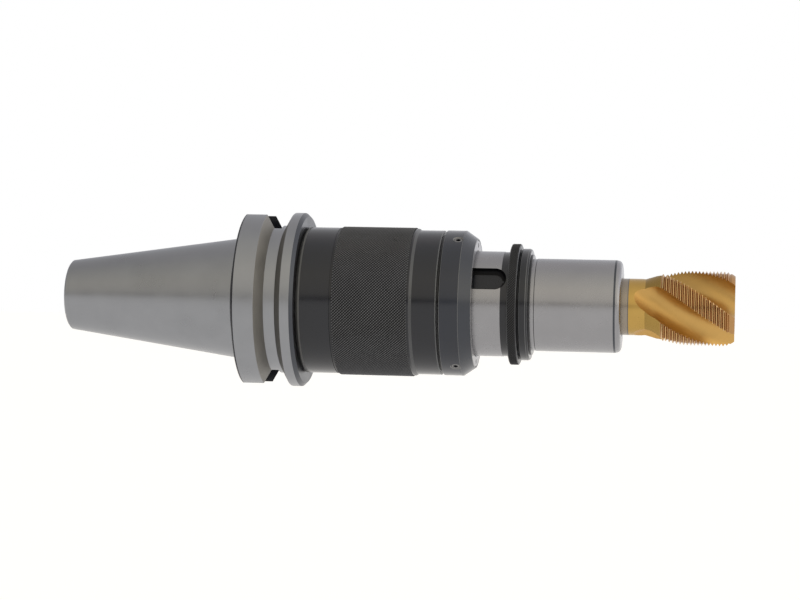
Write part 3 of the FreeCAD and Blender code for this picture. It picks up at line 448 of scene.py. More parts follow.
def mottle_group():
    """Soft blotches and small specks, as handling and oil leave them."""
    name = "handling_mottle"
    if name in bpy.data.node_groups:
        return bpy.data.node_groups[name]
    inputs = [("Scale", 60.0), ("Specks", 900.0)]
    outputs = [("Blotch", "NodeSocketFloat"), ("Speck", "NodeSocketFloat")]
    group, entry, leave = new_group(name, inputs, outputs)
    coordinates = group.nodes.new("ShaderNodeTexCoord").outputs["Object"]
    blotch = group.nodes.new("ShaderNodeTexNoise")
    blotch.inputs["Detail"].default_value = 5.0
    blotch.inputs["Roughness"].default_value = 0.6
    speck = group.nodes.new("ShaderNodeTexNoise")
    speck.inputs["Detail"].default_value = 2.0
    for texture, scale in ((blotch, "Scale"), (speck, "Specks")):
        group.links.new(coordinates, texture.inputs["Vector"])
        group.links.new(entry.outputs[scale], texture.inputs["Scale"])
    spots = group.nodes.new("ShaderNodeMapRange")
    spots.inputs["From Min"].default_value = 0.62
    spots.inputs["From Max"].default_value = 0.74
    group.links.new(speck.outputs["Fac"], spots.inputs["Value"])
    group.links.new(blotch.outputs["Fac"], leave.inputs["Blotch"])
    group.links.new(spots.outputs["Result"], leave.inputs["Speck"])
    return group


def knurl_wear_and_sheen_group():
    """Two crossing sets of ridges round a knurl, lighter on the ridges as rubbed wear; the set that rises towards
    the tap is made the stronger as painted light.
    """
    name = "knurl_lines"
    if name in bpy.data.node_groups:
        return bpy.data.node_groups[name]
    inputs = [("Rear", 0.0), ("Pitch", 0.0017), ("Count", 160.0)]
    group, entry, leave = new_group(name, inputs, [("Mask", "NodeSocketFloat")])
    parts = group.nodes.new("ShaderNodeSeparateXYZ")
    group.links.new(group.nodes.new("ShaderNodeTexCoord").outputs["Object"], parts.inputs[0])
    along = math_node(group, "SUBTRACT", parts.outputs["X"], entry.outputs["Rear"])
    along = math_node(group, "MULTIPLY", math_node(group, "DIVIDE", along, entry.outputs["Pitch"]), FULL_TURN)
    around = math_node(group, "ARCTAN2", parts.outputs["Y"], parts.outputs["Z"])
    around = math_node(group, "MULTIPLY", around, entry.outputs["Count"])
    mask = None
    # painted light: the ridges rising towards the tap get the larger share, as if they caught more light
    for operation, share in (("SUBTRACT", 0.36), ("ADD", 0.14)):
        wave = math_node(group, "COSINE", math_node(group, operation, along, around), None)
        ridge = math_node(group, "MULTIPLY", math_node(group, "SUBTRACT", 1.0, wave), share)
        mask = ridge if mask is None else math_node(group, "ADD", mask, ridge)
    group.links.new(math_node(group, "POWER", mask, 2.4), leave.inputs["Mask"])
    return group


def group_node(tree, group, **values):
    """Place a group in a material with its own values."""
    node = tree.nodes.new("ShaderNodeGroup")
    node.node_tree = group
    for label, value in values.items():
        node.inputs[label.replace("_", " ")].default_value = value
    return node


def shifted(colour, factor):
    """A colour made lighter or darker."""
    return tuple(min(1.0, part * factor) for part in colour) + (1.0,)


def blend_colours(tree, mask, first, second):
    """A colour ramp between two colours, steered by a mask."""
    ramp = tree.nodes.new("ShaderNodeMix")
    ramp.data_type = "RGBA"
    tree.links.new(mask, ramp.inputs["Factor"])
    ramp.inputs["A"].default_value = first
    ramp.inputs["B"].default_value = second
    return ramp.outputs["Result"]


def map_to(tree, value, low_end, high_end, from_low=0.25, from_high=0.75):
    """Stretch a mask to a range."""
    node = tree.nodes.new("ShaderNodeMapRange")
    node.inputs["From Min"].default_value = from_low
    node.inputs["From Max"].default_value = from_high
    node.inputs["To Min"].default_value = low_end
    node.inputs["To Max"].default_value = high_end
    tree.links.new(value, node.inputs["Value"])
    return node.outputs["Result"]


def turned_metal(name, colour, metallic, rough, lines, height, contrast, specular=0.5):
    """A turned or ground surface: rings in the finish, blotches in colour and gloss."""
    label = name + "_finish"
    if label in bpy.data.materials:
        return bpy.data.materials[label]
    material = bpy.data.materials.new(label)
    material.use_nodes = True
    tree = material.node_tree
    shader = tree.nodes["Principled BSDF"]
    marks = group_node(tree, turning_marks_group(), Lines_per_metre=lines, Height=height)
    mottle = group_node(tree, mottle_group())
    dark = shifted(colour, 1 - contrast)
    light = shifted(colour, 1 + contrast)
    mask = math_node(
        tree, "ADD",
        math_node(tree, "MULTIPLY", marks.outputs["Mask"], 0.6),
        math_node(tree, "MULTIPLY", mottle.outputs["Blotch"], 0.5),
    )
    tree.links.new(blend_colours(tree, map_to(tree, mask, 0.0, 1.0), dark, light), shader.inputs["Base Color"])
    gloss = map_to(tree, mottle.outputs["Blotch"], rough * 0.85, rough * 1.2)
    tree.links.new(gloss, shader.inputs["Roughness"])
    tree.links.new(marks.outputs["Normal"], shader.inputs["Normal"])
    shader.inputs["Metallic"].default_value = metallic
    shader.inputs["Specular IOR Level"].default_value = specular
    return material


def knurled_metal(name, light, gloss, rear, pitch, count):
    """A blackened knurl: dark grooves, ridges lighter partly from rubbed wear and partly as painted highlight, and
    less so in blotches.
    """
    material = bpy.data.materials.new(name + "_finish")
    material.use_nodes = True
    tree = material.node_tree
    shader = tree.nodes["Principled BSDF"]
    lines = group_node(tree, knurl_wear_and_sheen_group(), Rear=rear, Pitch=pitch, Count=count)
    mottle = group_node(tree, mottle_group())
    wear = map_to(tree, mottle.outputs["Blotch"], 0.8, 1.1)
    mask = math_node(tree, "MULTIPLY", lines.outputs["Mask"], wear)
    colour = blend_colours(tree, mask, (*settings().colours.knurl_dark, 1), (*light, 1))
    tree.links.new(colour, shader.inputs["Base Color"])
    tree.links.new(map_to(tree, mottle.outputs["Blotch"], 0.26, 0.36), shader.inputs["Roughness"])
    shader.inputs["Specular IOR Level"].default_value = gloss
    return material


# each finish: colour, metallic, roughness, lines per metre, height of the lines, contrast, and the specular level
# where it isn't 0.5
FINISHES = {
    "ground_steel": ("ground_steel", 1.0, 0.26, 7000, 0.25, 0.06),
    "taper_steel": ("taper_steel", 1.0, 0.30, 6000, 0.25, 0.07),
    "flange_face": ("flange_face", 1.0, 0.32, 5000, 0.25, 0.1),
    # painted light: the rear groove flank's tint
    "groove_flank": ("groove_flank", 0.55, 0.5, 6000, 0.25, 0.07),
    "groove_shade": ("groove_shade", 0.55, 0.5, 6000, 0.25, 0.07),
    "shank_steel": ("shank_steel", 1.0, 0.28, 6000, 0.25, 0.07),
    "black_oxide": ("black_oxide", 0.0, 0.18, 4500, 0.2, 0.15),
    "nut_black": ("nut_black", 0.0, 0.18, 4500, 0.2, 0.15),
    "rubbed_black": ("rubbed_black", 0.2, 0.3, 4500, 0.25, 0.2),
    "nut_nose": ("nut_nose", 0.0, 0.2, 4500, 0.25, 0.15),
    "ring_black": ("black_oxide", 0.0, 0.25, 4500, 0.1, 0.25, 0.25),
    "worn_edge": ("worn_edge", 0.7, 0.36, 4500, 0.2, 0.2),
    "rubbed_line": ("rubbed_line", 0.0, 0.4, 4500, 0.2, 0.2),
    "pit_black": ("knurl_dark", 0.0, 0.4, 3000, 0.1, 0.2, 0.1),
    "screw_steel": ("screw_steel", 0.8, 0.38, 4500, 0.2, 0.2),
    # black of the unground slots and keyways; also painted shade in the taper's neck and in the spanner holes
    "keyway_black": ("black_oxide", 0.0, 0.25, 3000, 0.2, 0.2, 0.4),
    "gold": ("gold", 1.0, 0.28, 5200, 0.3, 0.10),
    "gold_thread": ("gold_thread", 1.0, 0.22, 2500, 0.0, 0.12),
    "gold_cone": ("gold_cone", 1.0, 0.28, 5200, 0.3, 0.10),
    "gold_crest": ("gold_crest", 1.0, 0.3, 2500, 0.0, 0.08),
    "gold_flute": ("gold_flute", 1.0, 0.42, 3000, 0.25, 0.12),
    "bronze": ("bronze", 1.0, 0.35, 5000, 0.3, 0.1),
    "rubber": ("rubber", 0.0, 0.6, 2000, 0.1, 0.2),
}


def finish_of(name):
    """A finish of the object by its name."""
    colour, *values = FINISHES[name]
    return turned_metal(name, getattr(settings().colours, colour), *values)


# modelling helpers


def deselect_all():
    """Leave nothing selected, so that an operator acts on its own piece only."""
    if bpy.context.mode != "OBJECT":
        bpy.ops.object.mode_set(mode="OBJECT")
    bpy.ops.object.select_all(action="DESELECT")


def pick(piece):
    """Select one piece alone and make it the active one."""
    deselect_all()
    piece.select_set(True)
    bpy.context.view_layer.objects.active = piece


def edit(piece):
    """Open a piece in edit mode with nothing else selected."""
    pick(piece)
    bpy.ops.object.mode_set(mode="EDIT")


def open_new(name):
    """Name the piece that was just added and open it with all of it selected."""
    piece = bpy.context.active_object
    piece.name = name
    bpy.ops.object.mode_set(mode="EDIT")
    bpy.ops.mesh.select_all(action="SELECT")
    return piece


def leave_edit():
    """Go back to object mode."""
    bpy.ops.object.mode_set(mode="OBJECT")


def face_outwards():
    """Turn the faces of the open piece outwards and leave it."""
    bpy.ops.mesh.select_all(action="SELECT")
    bpy.ops.mesh.normals_make_consistent(inside=False)
    leave_edit()


def apply_modifier(piece, modifier):
    """Apply one modifier for good."""
    pick(piece)
    bpy.ops.object.modifier_apply(modifier=modifier.name)


def draw_profile(name, points):
    """A new piece holding one open run of edges through (place, radius) points above the axis."""
    deselect_all()
    bpy.ops.mesh.primitive_plane_add(size=MM)
    piece = bpy.context.active_object
    piece.name = name
    piece.data.name = name
    bpy.ops.object.mode_set(mode="EDIT")
    bpy.ops.mesh.select_mode(type="VERT")
    bpy.ops.mesh.select_all(action="SELECT")
    bpy.ops.mesh.merge(type="CENTER")
    corners = [Vector((place, 0.0, radius)) for place, radius in points]
    bpy.ops.transform.translate(value=corners[0])
    for before, after in zip(corners, corners[1:]):
        bpy.ops.mesh.extrude_region_move(TRANSFORM_OT_translate={"value": after - before})
    return piece


def turned(name, points, finish, steps=None):
    """Spin a profile about the axis into one turned piece; a hollow piece has its profile closed first."""
    hollow = points[0][1] > 0
    piece = draw_profile(name, points + points[:1] if hollow else points)
    bpy.ops.mesh.select_all(action="SELECT")
    bpy.ops.mesh.remove_doubles(threshold=MERGE)
    bpy.ops.mesh.select_all(action="SELECT")
    count = steps or settings().stage.steps
    bpy.ops.mesh.spin(steps=count, angle=FULL_TURN, center=(0, 0, 0), axis=(1, 0, 0))
    bpy.ops.mesh.select_all(action="SELECT")
    bpy.ops.mesh.remove_doubles(threshold=MERGE)
    face_outwards()
    piece.data.materials.append(finish_of(finish))
    return piece


def repaint(piece, finish, rear, front, inner):
    """Give the faces between two places and outside a radius another finish."""
    piece.data.materials.append(finish_of(finish))
    index = len(piece.data.materials) - 1
    for face in piece.data.polygons:
        if rear < face.center.x < front and Vector(face.center.yz).length > inner:
            face.material_index = index


def round_edges(piece, width, worn=None, segments=2, angle=20):
    """Round every sharp edge a little; the rounding may take a worn finish."""
    modifier = piece.modifiers.new("edge_round", "BEVEL")
    modifier.width = width
    modifier.segments = segments
    modifier.limit_method = "ANGLE"
    modifier.angle_limit = math.radians(angle)
    modifier.harden_normals = False
    if worn:
        piece.data.materials.append(finish_of(worn))
        modifier.material = len(piece.data.materials) - 1
    apply_modifier(piece, modifier)


def smooth(piece, angle=30):
    """Shade smooth across shallow angles only, and let large faces lead the shading."""
    pick(piece)
    bpy.ops.object.shade_smooth_by_angle(angle=math.radians(angle))
    weighted = piece.modifiers.new("face_weight", "WEIGHTED_NORMAL")
    weighted.keep_sharp = True
    apply_modifier(piece, weighted)


def cut(piece, cutter):
    """Take a cutter's shape out of a piece, with the cutter's finish on the new faces."""
    modifier = piece.modifiers.new("cut", "BOOLEAN")
    modifier.operation = "DIFFERENCE"
    modifier.solver = "EXACT"
    modifier.material_mode = "TRANSFER"
    modifier.object = cutter
    apply_modifier(piece, modifier)
    bpy.data.objects.remove(cutter, do_unlink=True)


def turn_about_axis(angle):
    """Turn what is selected in edit mode about the long axis."""
    bpy.ops.transform.rotate(value=-angle, orient_axis="X", orient_type="GLOBAL", center_override=(0, 0, 0))


def lay_down(axis):
    """Turn what is selected in edit mode by a quarter turn, so that it faces along another axis."""
    bpy.ops.transform.rotate(value=math.pi / 2, orient_axis=axis, center_override=(0, 0, 0))


def place_open(piece, place, height, angle, finish):
    """Move the open piece to a place and a height over the axis, turn it about the axis and close it."""
    bpy.ops.transform.translate(value=(place, 0, height))
    turn_about_axis(angle)
    leave_edit()
    piece.data.materials.append(finish_of(finish))


def block(name, rear, front, half_width, floor, top, angle, finish):
    """A cutter block that stands on a floor above the axis, turned about the axis."""
    deselect_all()
    bpy.ops.mesh.primitive_cube_add(size=1)
    piece = open_new(name)
    bpy.ops.transform.resize(value=(front - rear, half_width * 2, top - floor))
    place_open(piece, (front + rear) / 2, (top + floor) / 2, angle, finish)
    return piece


def round_block(name, rear, front, width, floor, top, angle, finish):
    """A cutter with two round ends that stands on a floor above the axis."""
    deselect_all()
    radius = width / 2
    bpy.ops.mesh.primitive_cylinder_add(vertices=48, radius=radius, depth=top - floor)
    piece = open_new(name)
    bpy.ops.transform.translate(value=(front - radius, 0, (top + floor) / 2))
    bpy.ops.mesh.select_all(action="DESELECT")
    leave_edit()
    middle = front - radius
    for vertex in piece.data.vertices:
        vertex.select = vertex.co.x < middle + MM * 0.01
    stretch = front - rear - width
    bpy.ops.object.mode_set(mode="EDIT")
    if stretch > 0:
        bpy.ops.transform.translate(value=(-stretch, 0, 0))
    bpy.ops.mesh.select_all(action="SELECT")
    turn_about_axis(angle)
    leave_edit()
    piece.data.materials.append(finish_of(finish))
    return piece


def repeat_round(piece, count):
    """Repeat a piece evenly about the long axis."""
    pivot = bpy.data.objects.new("turning_pivot", None)
    bpy.context.scene.collection.objects.link(pivot)
    pivot.rotation_euler = (FULL_TURN / count, 0, 0)
    bpy.context.view_layer.update()
    around = piece.modifiers.new("around", "ARRAY")
    around.count = count
    around.use_relative_offset = False
    around.use_object_offset = True
    around.offset_object = pivot
    apply_modifier(piece, around)
    bpy.data.objects.remove(pivot, do_unlink=True)


def diamond_knurl(name, rear, radius, depth, rows, count, pitch, light, gloss):
    """A closed ring of small pyramids in staggered rows, as a knurling tool rolls them."""
    root = radius - depth
    half_around = root * math.tan(math.pi / count)
    deselect_all()
    bpy.ops.mesh.primitive_plane_add(size=math.sqrt(2.0))
    piece = open_new(name)
    piece.data.name = name
    bpy.ops.transform.rotate(value=math.pi / 4, orient_axis="Z", center_override=(0, 0, 0))
    bpy.ops.transform.resize(value=(pitch / 2, half_around, 1))
    bpy.ops.transform.translate(value=(rear + pitch / 2, 0, root))
    bpy.ops.mesh.poke(offset=depth)
    bpy.ops.mesh.select_all(action="SELECT")
    bpy.ops.mesh.duplicate_move(TRANSFORM_OT_translate={"value": (pitch / 2, 0, 0)})
    turn_about_axis(math.pi / count)
    leave_edit()
    along = piece.modifiers.new("along", "ARRAY")
    along.count = rows
    along.use_relative_offset = False
    along.use_constant_offset = True
    along.constant_offset_displace = (pitch, 0, 0)
    along.use_merge_vertices = True
    along.merge_threshold = MM * 0.02
    apply_modifier(piece, along)
    repeat_round(piece, count)
    edit(piece)
    bpy.ops.mesh.select_mode(type="VERT")
    bpy.ops.mesh.select_all(action="SELECT")
    bpy.ops.mesh.remove_doubles(threshold=MM * 0.02)
    bpy.ops.mesh.select_all(action="DESELECT")
    bpy.ops.mesh.select_non_manifold()
    bpy.ops.mesh.extrude_region_move()
    shrink = (root - depth) / root
    bpy.ops.transform.resize(value=(1, shrink, shrink), center_override=(0, 0, 0))
    bpy.ops.mesh.bridge_edge_loops()
    face_outwards()
    piece.data.materials.append(knurled_metal(name, light, gloss, rear, pitch, count))
    return piece


def seat(piece, body, slot, *nodes):
    """Let a piece ride on its body and stand for its nodes; its slot is not used."""
    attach(piece, body)
    if nodes:
        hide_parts(*nodes)


class TapHolderOperator:
    """What the operators of this file share."""

    bl_options = {"REGISTER", "UNDO"}


class TAPHOLDER_OT_shank(TapHolderOperator, Operator):
    """Taper, flange with gripper groove and drive slots, and the tube"""

    bl_idname = "tap_holder.shank"
    bl_label = "Taper Shank"

    def execute(self, context):
        z = settings().shank
        rear, front = ends("taper_shank")
        flange = high("taper_shank").y
        tip = z.gauge_radius + rear * z.slope
        run = (flange - z.groove_root) * math.tan(z.groove_flank)
        groove_rear = z.groove_place - z.groove_mouth / 2
        groove_front = z.groove_place + z.groove_mouth / 2
        points = [
            (rear, z.pilot_radius + z.rear_edge),
            (rear, tip - z.tip_edge),
            (rear + z.tip_edge, tip + z.tip_edge * z.slope),
            (-z.dark_line, z.gauge_radius - z.dark_line * z.slope),
            (0.0, z.gauge_radius),
            (0.0, z.relief_radius),
            (z.relief_length, z.relief_radius),
            (z.relief_length, flange - z.rear_edge),
            (z.relief_length + z.rear_edge, flange),
            (z.relief_length + z.rear_edge + z.dark_line, flange),
            (groove_rear, flange),
            (groove_rear + run, z.groove_root),
            (groove_front - run, z.groove_root),
            (groove_front, flange),
            (z.flange_front - z.flange_edge, flange),
            (z.flange_front, flange - z.flange_edge),
            (z.flange_front, z.tube_radius),
            (z.thread_rear, z.tube_radius),
            (z.thread_rear, z.thread_radius),
            (front, z.thread_radius),
            (front, z.tube_bore),
            (z.tube_bore_rear, z.tube_bore),
            (z.tube_bore_rear, z.spring_bore),
            (z.spring_bore_rear, z.spring_bore),
            (z.spring_bore_rear, z.passage),
            (rear + z.stud_depth, z.passage),
            (rear + z.stud_depth, z.stud_radius),
            (rear + z.pilot_depth, z.stud_radius),
            (rear + z.pilot_depth, z.pilot_radius),
            (rear + z.rear_edge, z.pilot_radius),
        ]
        piece = turned("shank_body", points, "taper_steel")
        round_edges(piece, 0.12 * MM)
        for angle in (0.0, math.pi):
            slot_cutter = block(
                "drive_slot_cutter", -z.relief_length, z.slot_front, z.slot_width / 2,
                z.slot_floor, flange * 1.2, angle, "keyway_black",
            )
            cut(piece, slot_cutter)
        # the tube in front of the flange is coloured black, so that it shows dark in the gap between the housing
        # and the nut
        repaint(piece, "black_oxide", z.flange_front + MM, front + MM, z.tube_bore + MM)
        # painted shade: the flange's front face and front chamfer are tinted dark
        repaint(piece, "flange_face", z.flange_front - z.flange_edge, z.flange_front + HAIR, z.tube_radius)
        # painted light: the rear flank of the gripper groove is tinted light
        repaint(piece, "groove_flank", groove_rear + HAIR, groove_rear + run - HAIR, z.groove_root)
        repaint(piece, "groove_shade", groove_front - run + HAIR, groove_front - HAIR, z.groove_root)
        # painted shade: the neck between taper and flange, and thin strips of taper and flange beside it, are
        # coloured black
        repaint(piece, "keyway_black", -z.dark_line, z.relief_length - HAIR, z.relief_radius - MM)
        flange_rear = z.relief_length + HAIR
        repaint(piece, "keyway_black", flange_rear, flange_rear + z.rear_edge + z.dark_line, flange - z.rear_edge)
        smooth(piece)
        seat(piece, "holder", "taper_steel", "taper_shank")
        return {"FINISHED"}


class TAPHOLDER_OT_housing(TapHolderOperator, Operator):
    """Black housing sleeve with its knurled grip"""

    bl_idname = "tap_holder.housing"
    bl_label = "Housing Sleeve"

    def execute(self, context):
        z = settings().housing
        rear, front = ends("housing_sleeve")
        knurl_rear = z.line_place + z.line_width
        knurl_root = z.knurl_radius - z.knurl_depth - 0.05 * MM
        edge_slope = (z.knurl_radius - z.band_radius) / z.knurl_edge
        points = [
            (rear, z.bore),
            (rear, z.rear_radius - z.rear_edge),
            (rear + z.rear_edge, z.rear_radius),
            (rear + z.rear_edge + z.painted_highlight_width, z.rear_radius),
            (z.line_place, z.rear_radius),
            (z.line_place, z.rear_radius - z.line_depth),
            (knurl_rear, z.rear_radius - z.line_depth),
            (knurl_rear, knurl_root),
            (z.knurl_front + (z.knurl_radius - knurl_root) / edge_slope, knurl_root),
            (z.knurl_front + z.knurl_edge, z.band_radius),
            (front - z.band_edge, z.band_radius),
            (front, z.band_radius - z.band_edge),
            (front, z.bore),
        ]
        piece = turned("housing_body", points, "black_oxide")
        round_edges(piece, 0.12 * MM)
        # painted highlight: the rear chamfer and a narrow band in front of it are coloured light grey
        repaint(piece, "rubbed_line", rear, rear + z.rear_edge + z.painted_highlight_width, z.rear_radius - z.rear_edge)
        # the chamfer after the knurl is coloured lighter than the black oxide
        repaint(piece, "rubbed_black", z.knurl_front + HAIR, z.knurl_front + z.knurl_edge, z.band_radius)
        # painted highlight: the front chamfer of the housing takes the light edge colour
        repaint(piece, "worn_edge", front - z.band_edge - HAIR, front, z.band_radius - z.band_edge)
        smooth(piece)
        seat(piece, "holder", "black_oxide_knurled", "housing_sleeve")
        pitch = (z.knurl_front - knurl_rear) / (z.knurl_rows + 0.5)
        knurl = diamond_knurl(
            "housing_knurl", knurl_rear, z.knurl_radius, z.knurl_depth,
            z.knurl_rows, z.knurl_count, pitch, settings().colours.knurl_ridge_wear_and_sheen, 0.22,
        )
        seat(knurl, "holder", "black_oxide_knurled")
        return {"FINISHED"}


class TAPHOLDER_OT_nut(TapHolderOperator, Operator):
    """Front nut with its set screws, and the cap ring in its nose"""

    bl_idname = "tap_holder.nut"
    bl_label = "Front Nut"

    def execute(self, context):
        z = settings().nut
        rear, front = ends("front_nut")
        radius = high("front_nut").y
        points = [
            (rear, z.bore),
            (rear, radius - z.edge),
            (rear + z.edge, radius),
            (z.shoulder, radius),
            (front, z.nose_radius),
            (front, z.mouth),
            (z.bore_front, z.mouth),
            (z.bore_front, z.bore),
        ]
        piece = turned("nut_body", points, "nut_black")
        round_edges(piece, 0.14 * MM, "worn_edge")
        # painted light: lighter tint on the nose chamfer
        repaint(piece, "nut_nose", z.shoulder + 0.2 * MM, front - 0.2 * MM, z.nose_radius)
        for index in range(3):
            angle = math.radians(30 + 120 * index)
            hole = round_block(
                "screw_hole_cutter", z.screw_place - z.screw_hole, z.screw_place + z.screw_hole,
                z.screw_hole * 2, z.mouth - 4 * MM, radius * 1.1, angle, "worn_edge",
            )
            cut(piece, hole)
            self.countersink(piece, z, radius, angle)
            self.set_screw(z, index, angle)
        smooth(piece)
        seat(piece, "holder", "black_oxide", "front_nut")
        self.cap_ring(z)
        return {"FINISHED"}

    def countersink(self, piece, z, radius, angle):
        """The bright lip round a screw hole."""
        height = z.screw_lip * 4
        deselect_all()
        bpy.ops.mesh.primitive_cone_add(
            vertices=48, radius1=z.screw_hole - z.screw_lip, radius2=z.screw_hole - z.screw_lip + height,
            depth=height,
        )
        cone = open_new("countersink_cutter")
        place_open(cone, z.screw_place, radius - z.screw_lip * 2 + height / 2, angle, "screw_steel")
        cut(piece, cone)

    def set_screw(self, z, index, angle):
        """A set screw with a hexagon socket, at the bottom of its hole."""
        node = "nut_set_screw_" + str(index + 1)
        foot = z.bore + 0.05 * MM
        deselect_all()
        bpy.ops.mesh.primitive_cylinder_add(vertices=48, radius=z.screw_radius, depth=z.screw_top - foot)
        piece = open_new("set_screw_" + str(index + 1))
        place_open(piece, z.screw_place, (z.screw_top + foot) / 2, angle, "screw_steel")
        round_edges(piece, 0.3 * MM, "worn_edge")
        deselect_all()
        across_corners = z.screw_socket / math.sqrt(3)
        bpy.ops.mesh.primitive_cylinder_add(vertices=6, radius=across_corners, depth=z.screw_socket_depth * 2)
        socket = open_new("socket_cutter")
        place_open(socket, z.screw_place, z.screw_top, angle, "keyway_black")
        cut(piece, socket)
        smooth(piece)
        seat(piece, "holder", "black_oxide", node)

    def cap_ring(self, z):
        """The ring in the nose of the nut, with its spanner holes."""
        rear, front = ends("front_cap_ring")
        outer = high("front_cap_ring").y
        points = [
            (rear, z.cap_bore),
            (rear, outer),
            (front - z.cap_edge, outer),
            (front, outer - z.cap_edge),
            (front, z.cap_bore + z.cap_edge),
            (front - z.cap_edge, z.cap_bore),
        ]
        piece = turned("cap_ring", points, "ground_steel")
        for index in range(4):
            deselect_all()
            bpy.ops.mesh.primitive_cylinder_add(vertices=24, radius=z.pin_radius, depth=z.pin_depth * 2)
            hole = open_new("pin_hole_cutter")
            lay_down("Y")
            # painted shade: the spanner holes are coloured black inside
            place_open(hole, front, z.pin_circle, math.pi / 2 * index, "keyway_black")
            cut(piece, hole)
        smooth(piece)
        seat(piece, "holder", "bright_steel", "front_cap_ring")


class TAPHOLDER_OT_float(TapHolderOperator, Operator):
    """Sliding sleeve with its two keyways"""

    bl_idname = "tap_holder.float"
    bl_label = "Float Sleeve"

    def execute(self, context):
        z = settings().float_sleeve
        rear, front = ends("float_sleeve")
        edge = 0.4 * MM
        points = [
            (rear, z.passage),
            (rear, z.spigot_radius),
            (z.piston_rear, z.spigot_radius),
            (z.piston_rear, z.piston_radius),
            (z.piston_front, z.piston_radius),
            (z.piston_front, z.radius),
            (z.band_rear, z.radius),
            (z.band_rear, z.radius - z.band_drop),
            (z.shoulder, z.radius - z.band_drop),
            (z.shoulder, z.nose_radius),
            (front - edge, z.nose_radius),
            (front, z.nose_radius - edge),
            (front, z.bore),
            (z.bore_rear, z.bore),
            (z.bore_rear, z.passage),
        ]
        piece = turned("float_barrel", points, "ground_steel")
        round_edges(piece, 0.1 * MM)
        repaint(piece, "black_oxide", z.band_rear, front + MM, z.bore + MM)
        for index in range(2):
            angle = z.key_angle + math.pi * index
            keyway = round_block(
                "keyway_cutter", z.keyway_rear, z.keyway_front, z.keyway_width,
                z.keyway_floor, z.radius * 1.2, angle, "pit_black",
            )
            round_edges(keyway, z.keyway_corner, segments=4, angle=60)
            keyway.data.materials.append(finish_of("keyway_black"))
            for face in keyway.data.polygons:
                if Vector(face.center.yz).length < z.keyway_floor + HAIR:
                    face.material_index = 1
            cut(piece, keyway)
        smooth(piece)
        seat(piece, "float", "ground_steel", "float_sleeve")
        return {"FINISHED"}


class TAPHOLDER_OT_release_ring(TapHolderOperator, Operator):
    """Knurled ring that frees the adapter"""

    bl_idname = "tap_holder.release_ring"
    bl_label = "Release Ring"

    def execute(self, context):
        z = settings().ring
        rear, front = ends("release_ring")
        radius = high("release_ring").z
        root = radius - z.knurl_depth - 0.04 * MM
        points = [
            (rear, z.bore),
            (rear, root - z.edge),
            (rear + z.edge / 2, root),
            (front - z.edge / 2, root),
            (front, root - z.edge),
            (front, z.bore),
        ]
        piece = turned("ring_body", points, "ring_black")
        round_edges(piece, 0.15 * MM, "worn_edge")
        smooth(piece)
        seat(piece, "release_ring", "black_oxide_knurled", "release_ring")
        start = rear + z.edge / 2
        pitch = (front - z.edge / 2 - start) / (z.knurl_rows + 0.5)
        knurl = diamond_knurl(
            "ring_knurl", start, radius, z.knurl_depth, z.knurl_rows, z.knurl_count, pitch,
            settings().colours.ring_ridge_wear_and_sheen, 0.06,
        )
        seat(knurl, "release_ring", "black_oxide_knurled")
        return {"FINISHED"}


class TAPHOLDER_OT_adapter(TapHolderOperator, Operator):
    """Quick-change adapter and its black collar"""

    bl_idname = "tap_holder.adapter"
    bl_label = "Adapter"

    def execute(self, context):
        z = settings().adapter
        rear, front = ends("adapter_body")
        face = low("adapter_collar").x
        nose_front = front + z.nose_reach
        nose_rear = nose_front - z.nose
        nose_points = [
            (nose_rear + z.nose * math.sin(math.radians(turned_by)),
             z.radius - z.nose * (1.05 - math.cos(math.radians(turned_by))))
            for turned_by in range(15, 91, 15)
        ]
        points = [
            (rear, z.tap_bore),
            (rear, z.shank_radius),
            (z.cup_floor, z.shank_radius),
            (z.cup_floor, z.cup_radius),
            (face, z.cup_radius),
            (face, z.flange_radius),
            (z.flange_front, z.flange_radius),
            (z.flange_front, z.radius - z.undercut),
            (z.flange_front + z.undercut_length, z.radius - z.undercut),
            (z.flange_front + z.undercut_length + z.undercut, z.radius),
            (nose_rear - z.edge, z.radius),
            (nose_rear, z.radius - 0.05 * z.nose),
            *nose_points,
            (nose_front, z.tap_bore + z.edge),
            (nose_front - z.edge, z.tap_bore),
        ]
        piece = turned("adapter_barrel", points, "ground_steel")
        round_edges(piece, 0.12 * MM)
        repaint(piece, "black_oxide", face - MM, z.flange_front + 0.05 * MM, z.cup_radius)
        # painted shade: the ring before the adapter's nose is tinted dark
        repaint(piece, "flange_face", nose_rear - z.edge, nose_rear, z.radius - z.edge)
        smooth(piece)
        seat(piece, "float", "ground_steel", "adapter_body")
        collar_front = high("adapter_collar").x + z.collar_reach
        radius = high("adapter_collar").y
        edge = z.collar_edge
        points = [
            (face, z.collar_bore),
            (face, radius - edge / 2),
            (face + edge / 2, radius),
            (collar_front - edge, radius),
            (collar_front, radius - edge / 2),
            (collar_front, z.collar_bore),
        ]
        collar = turned("adapter_collar_ring", points, "black_oxide")
        round_edges(collar, 0.15 * MM, "worn_edge")
        smooth(collar)
        seat(collar, "float", "black_oxide", "adapter_collar")
        return {"FINISHED"}


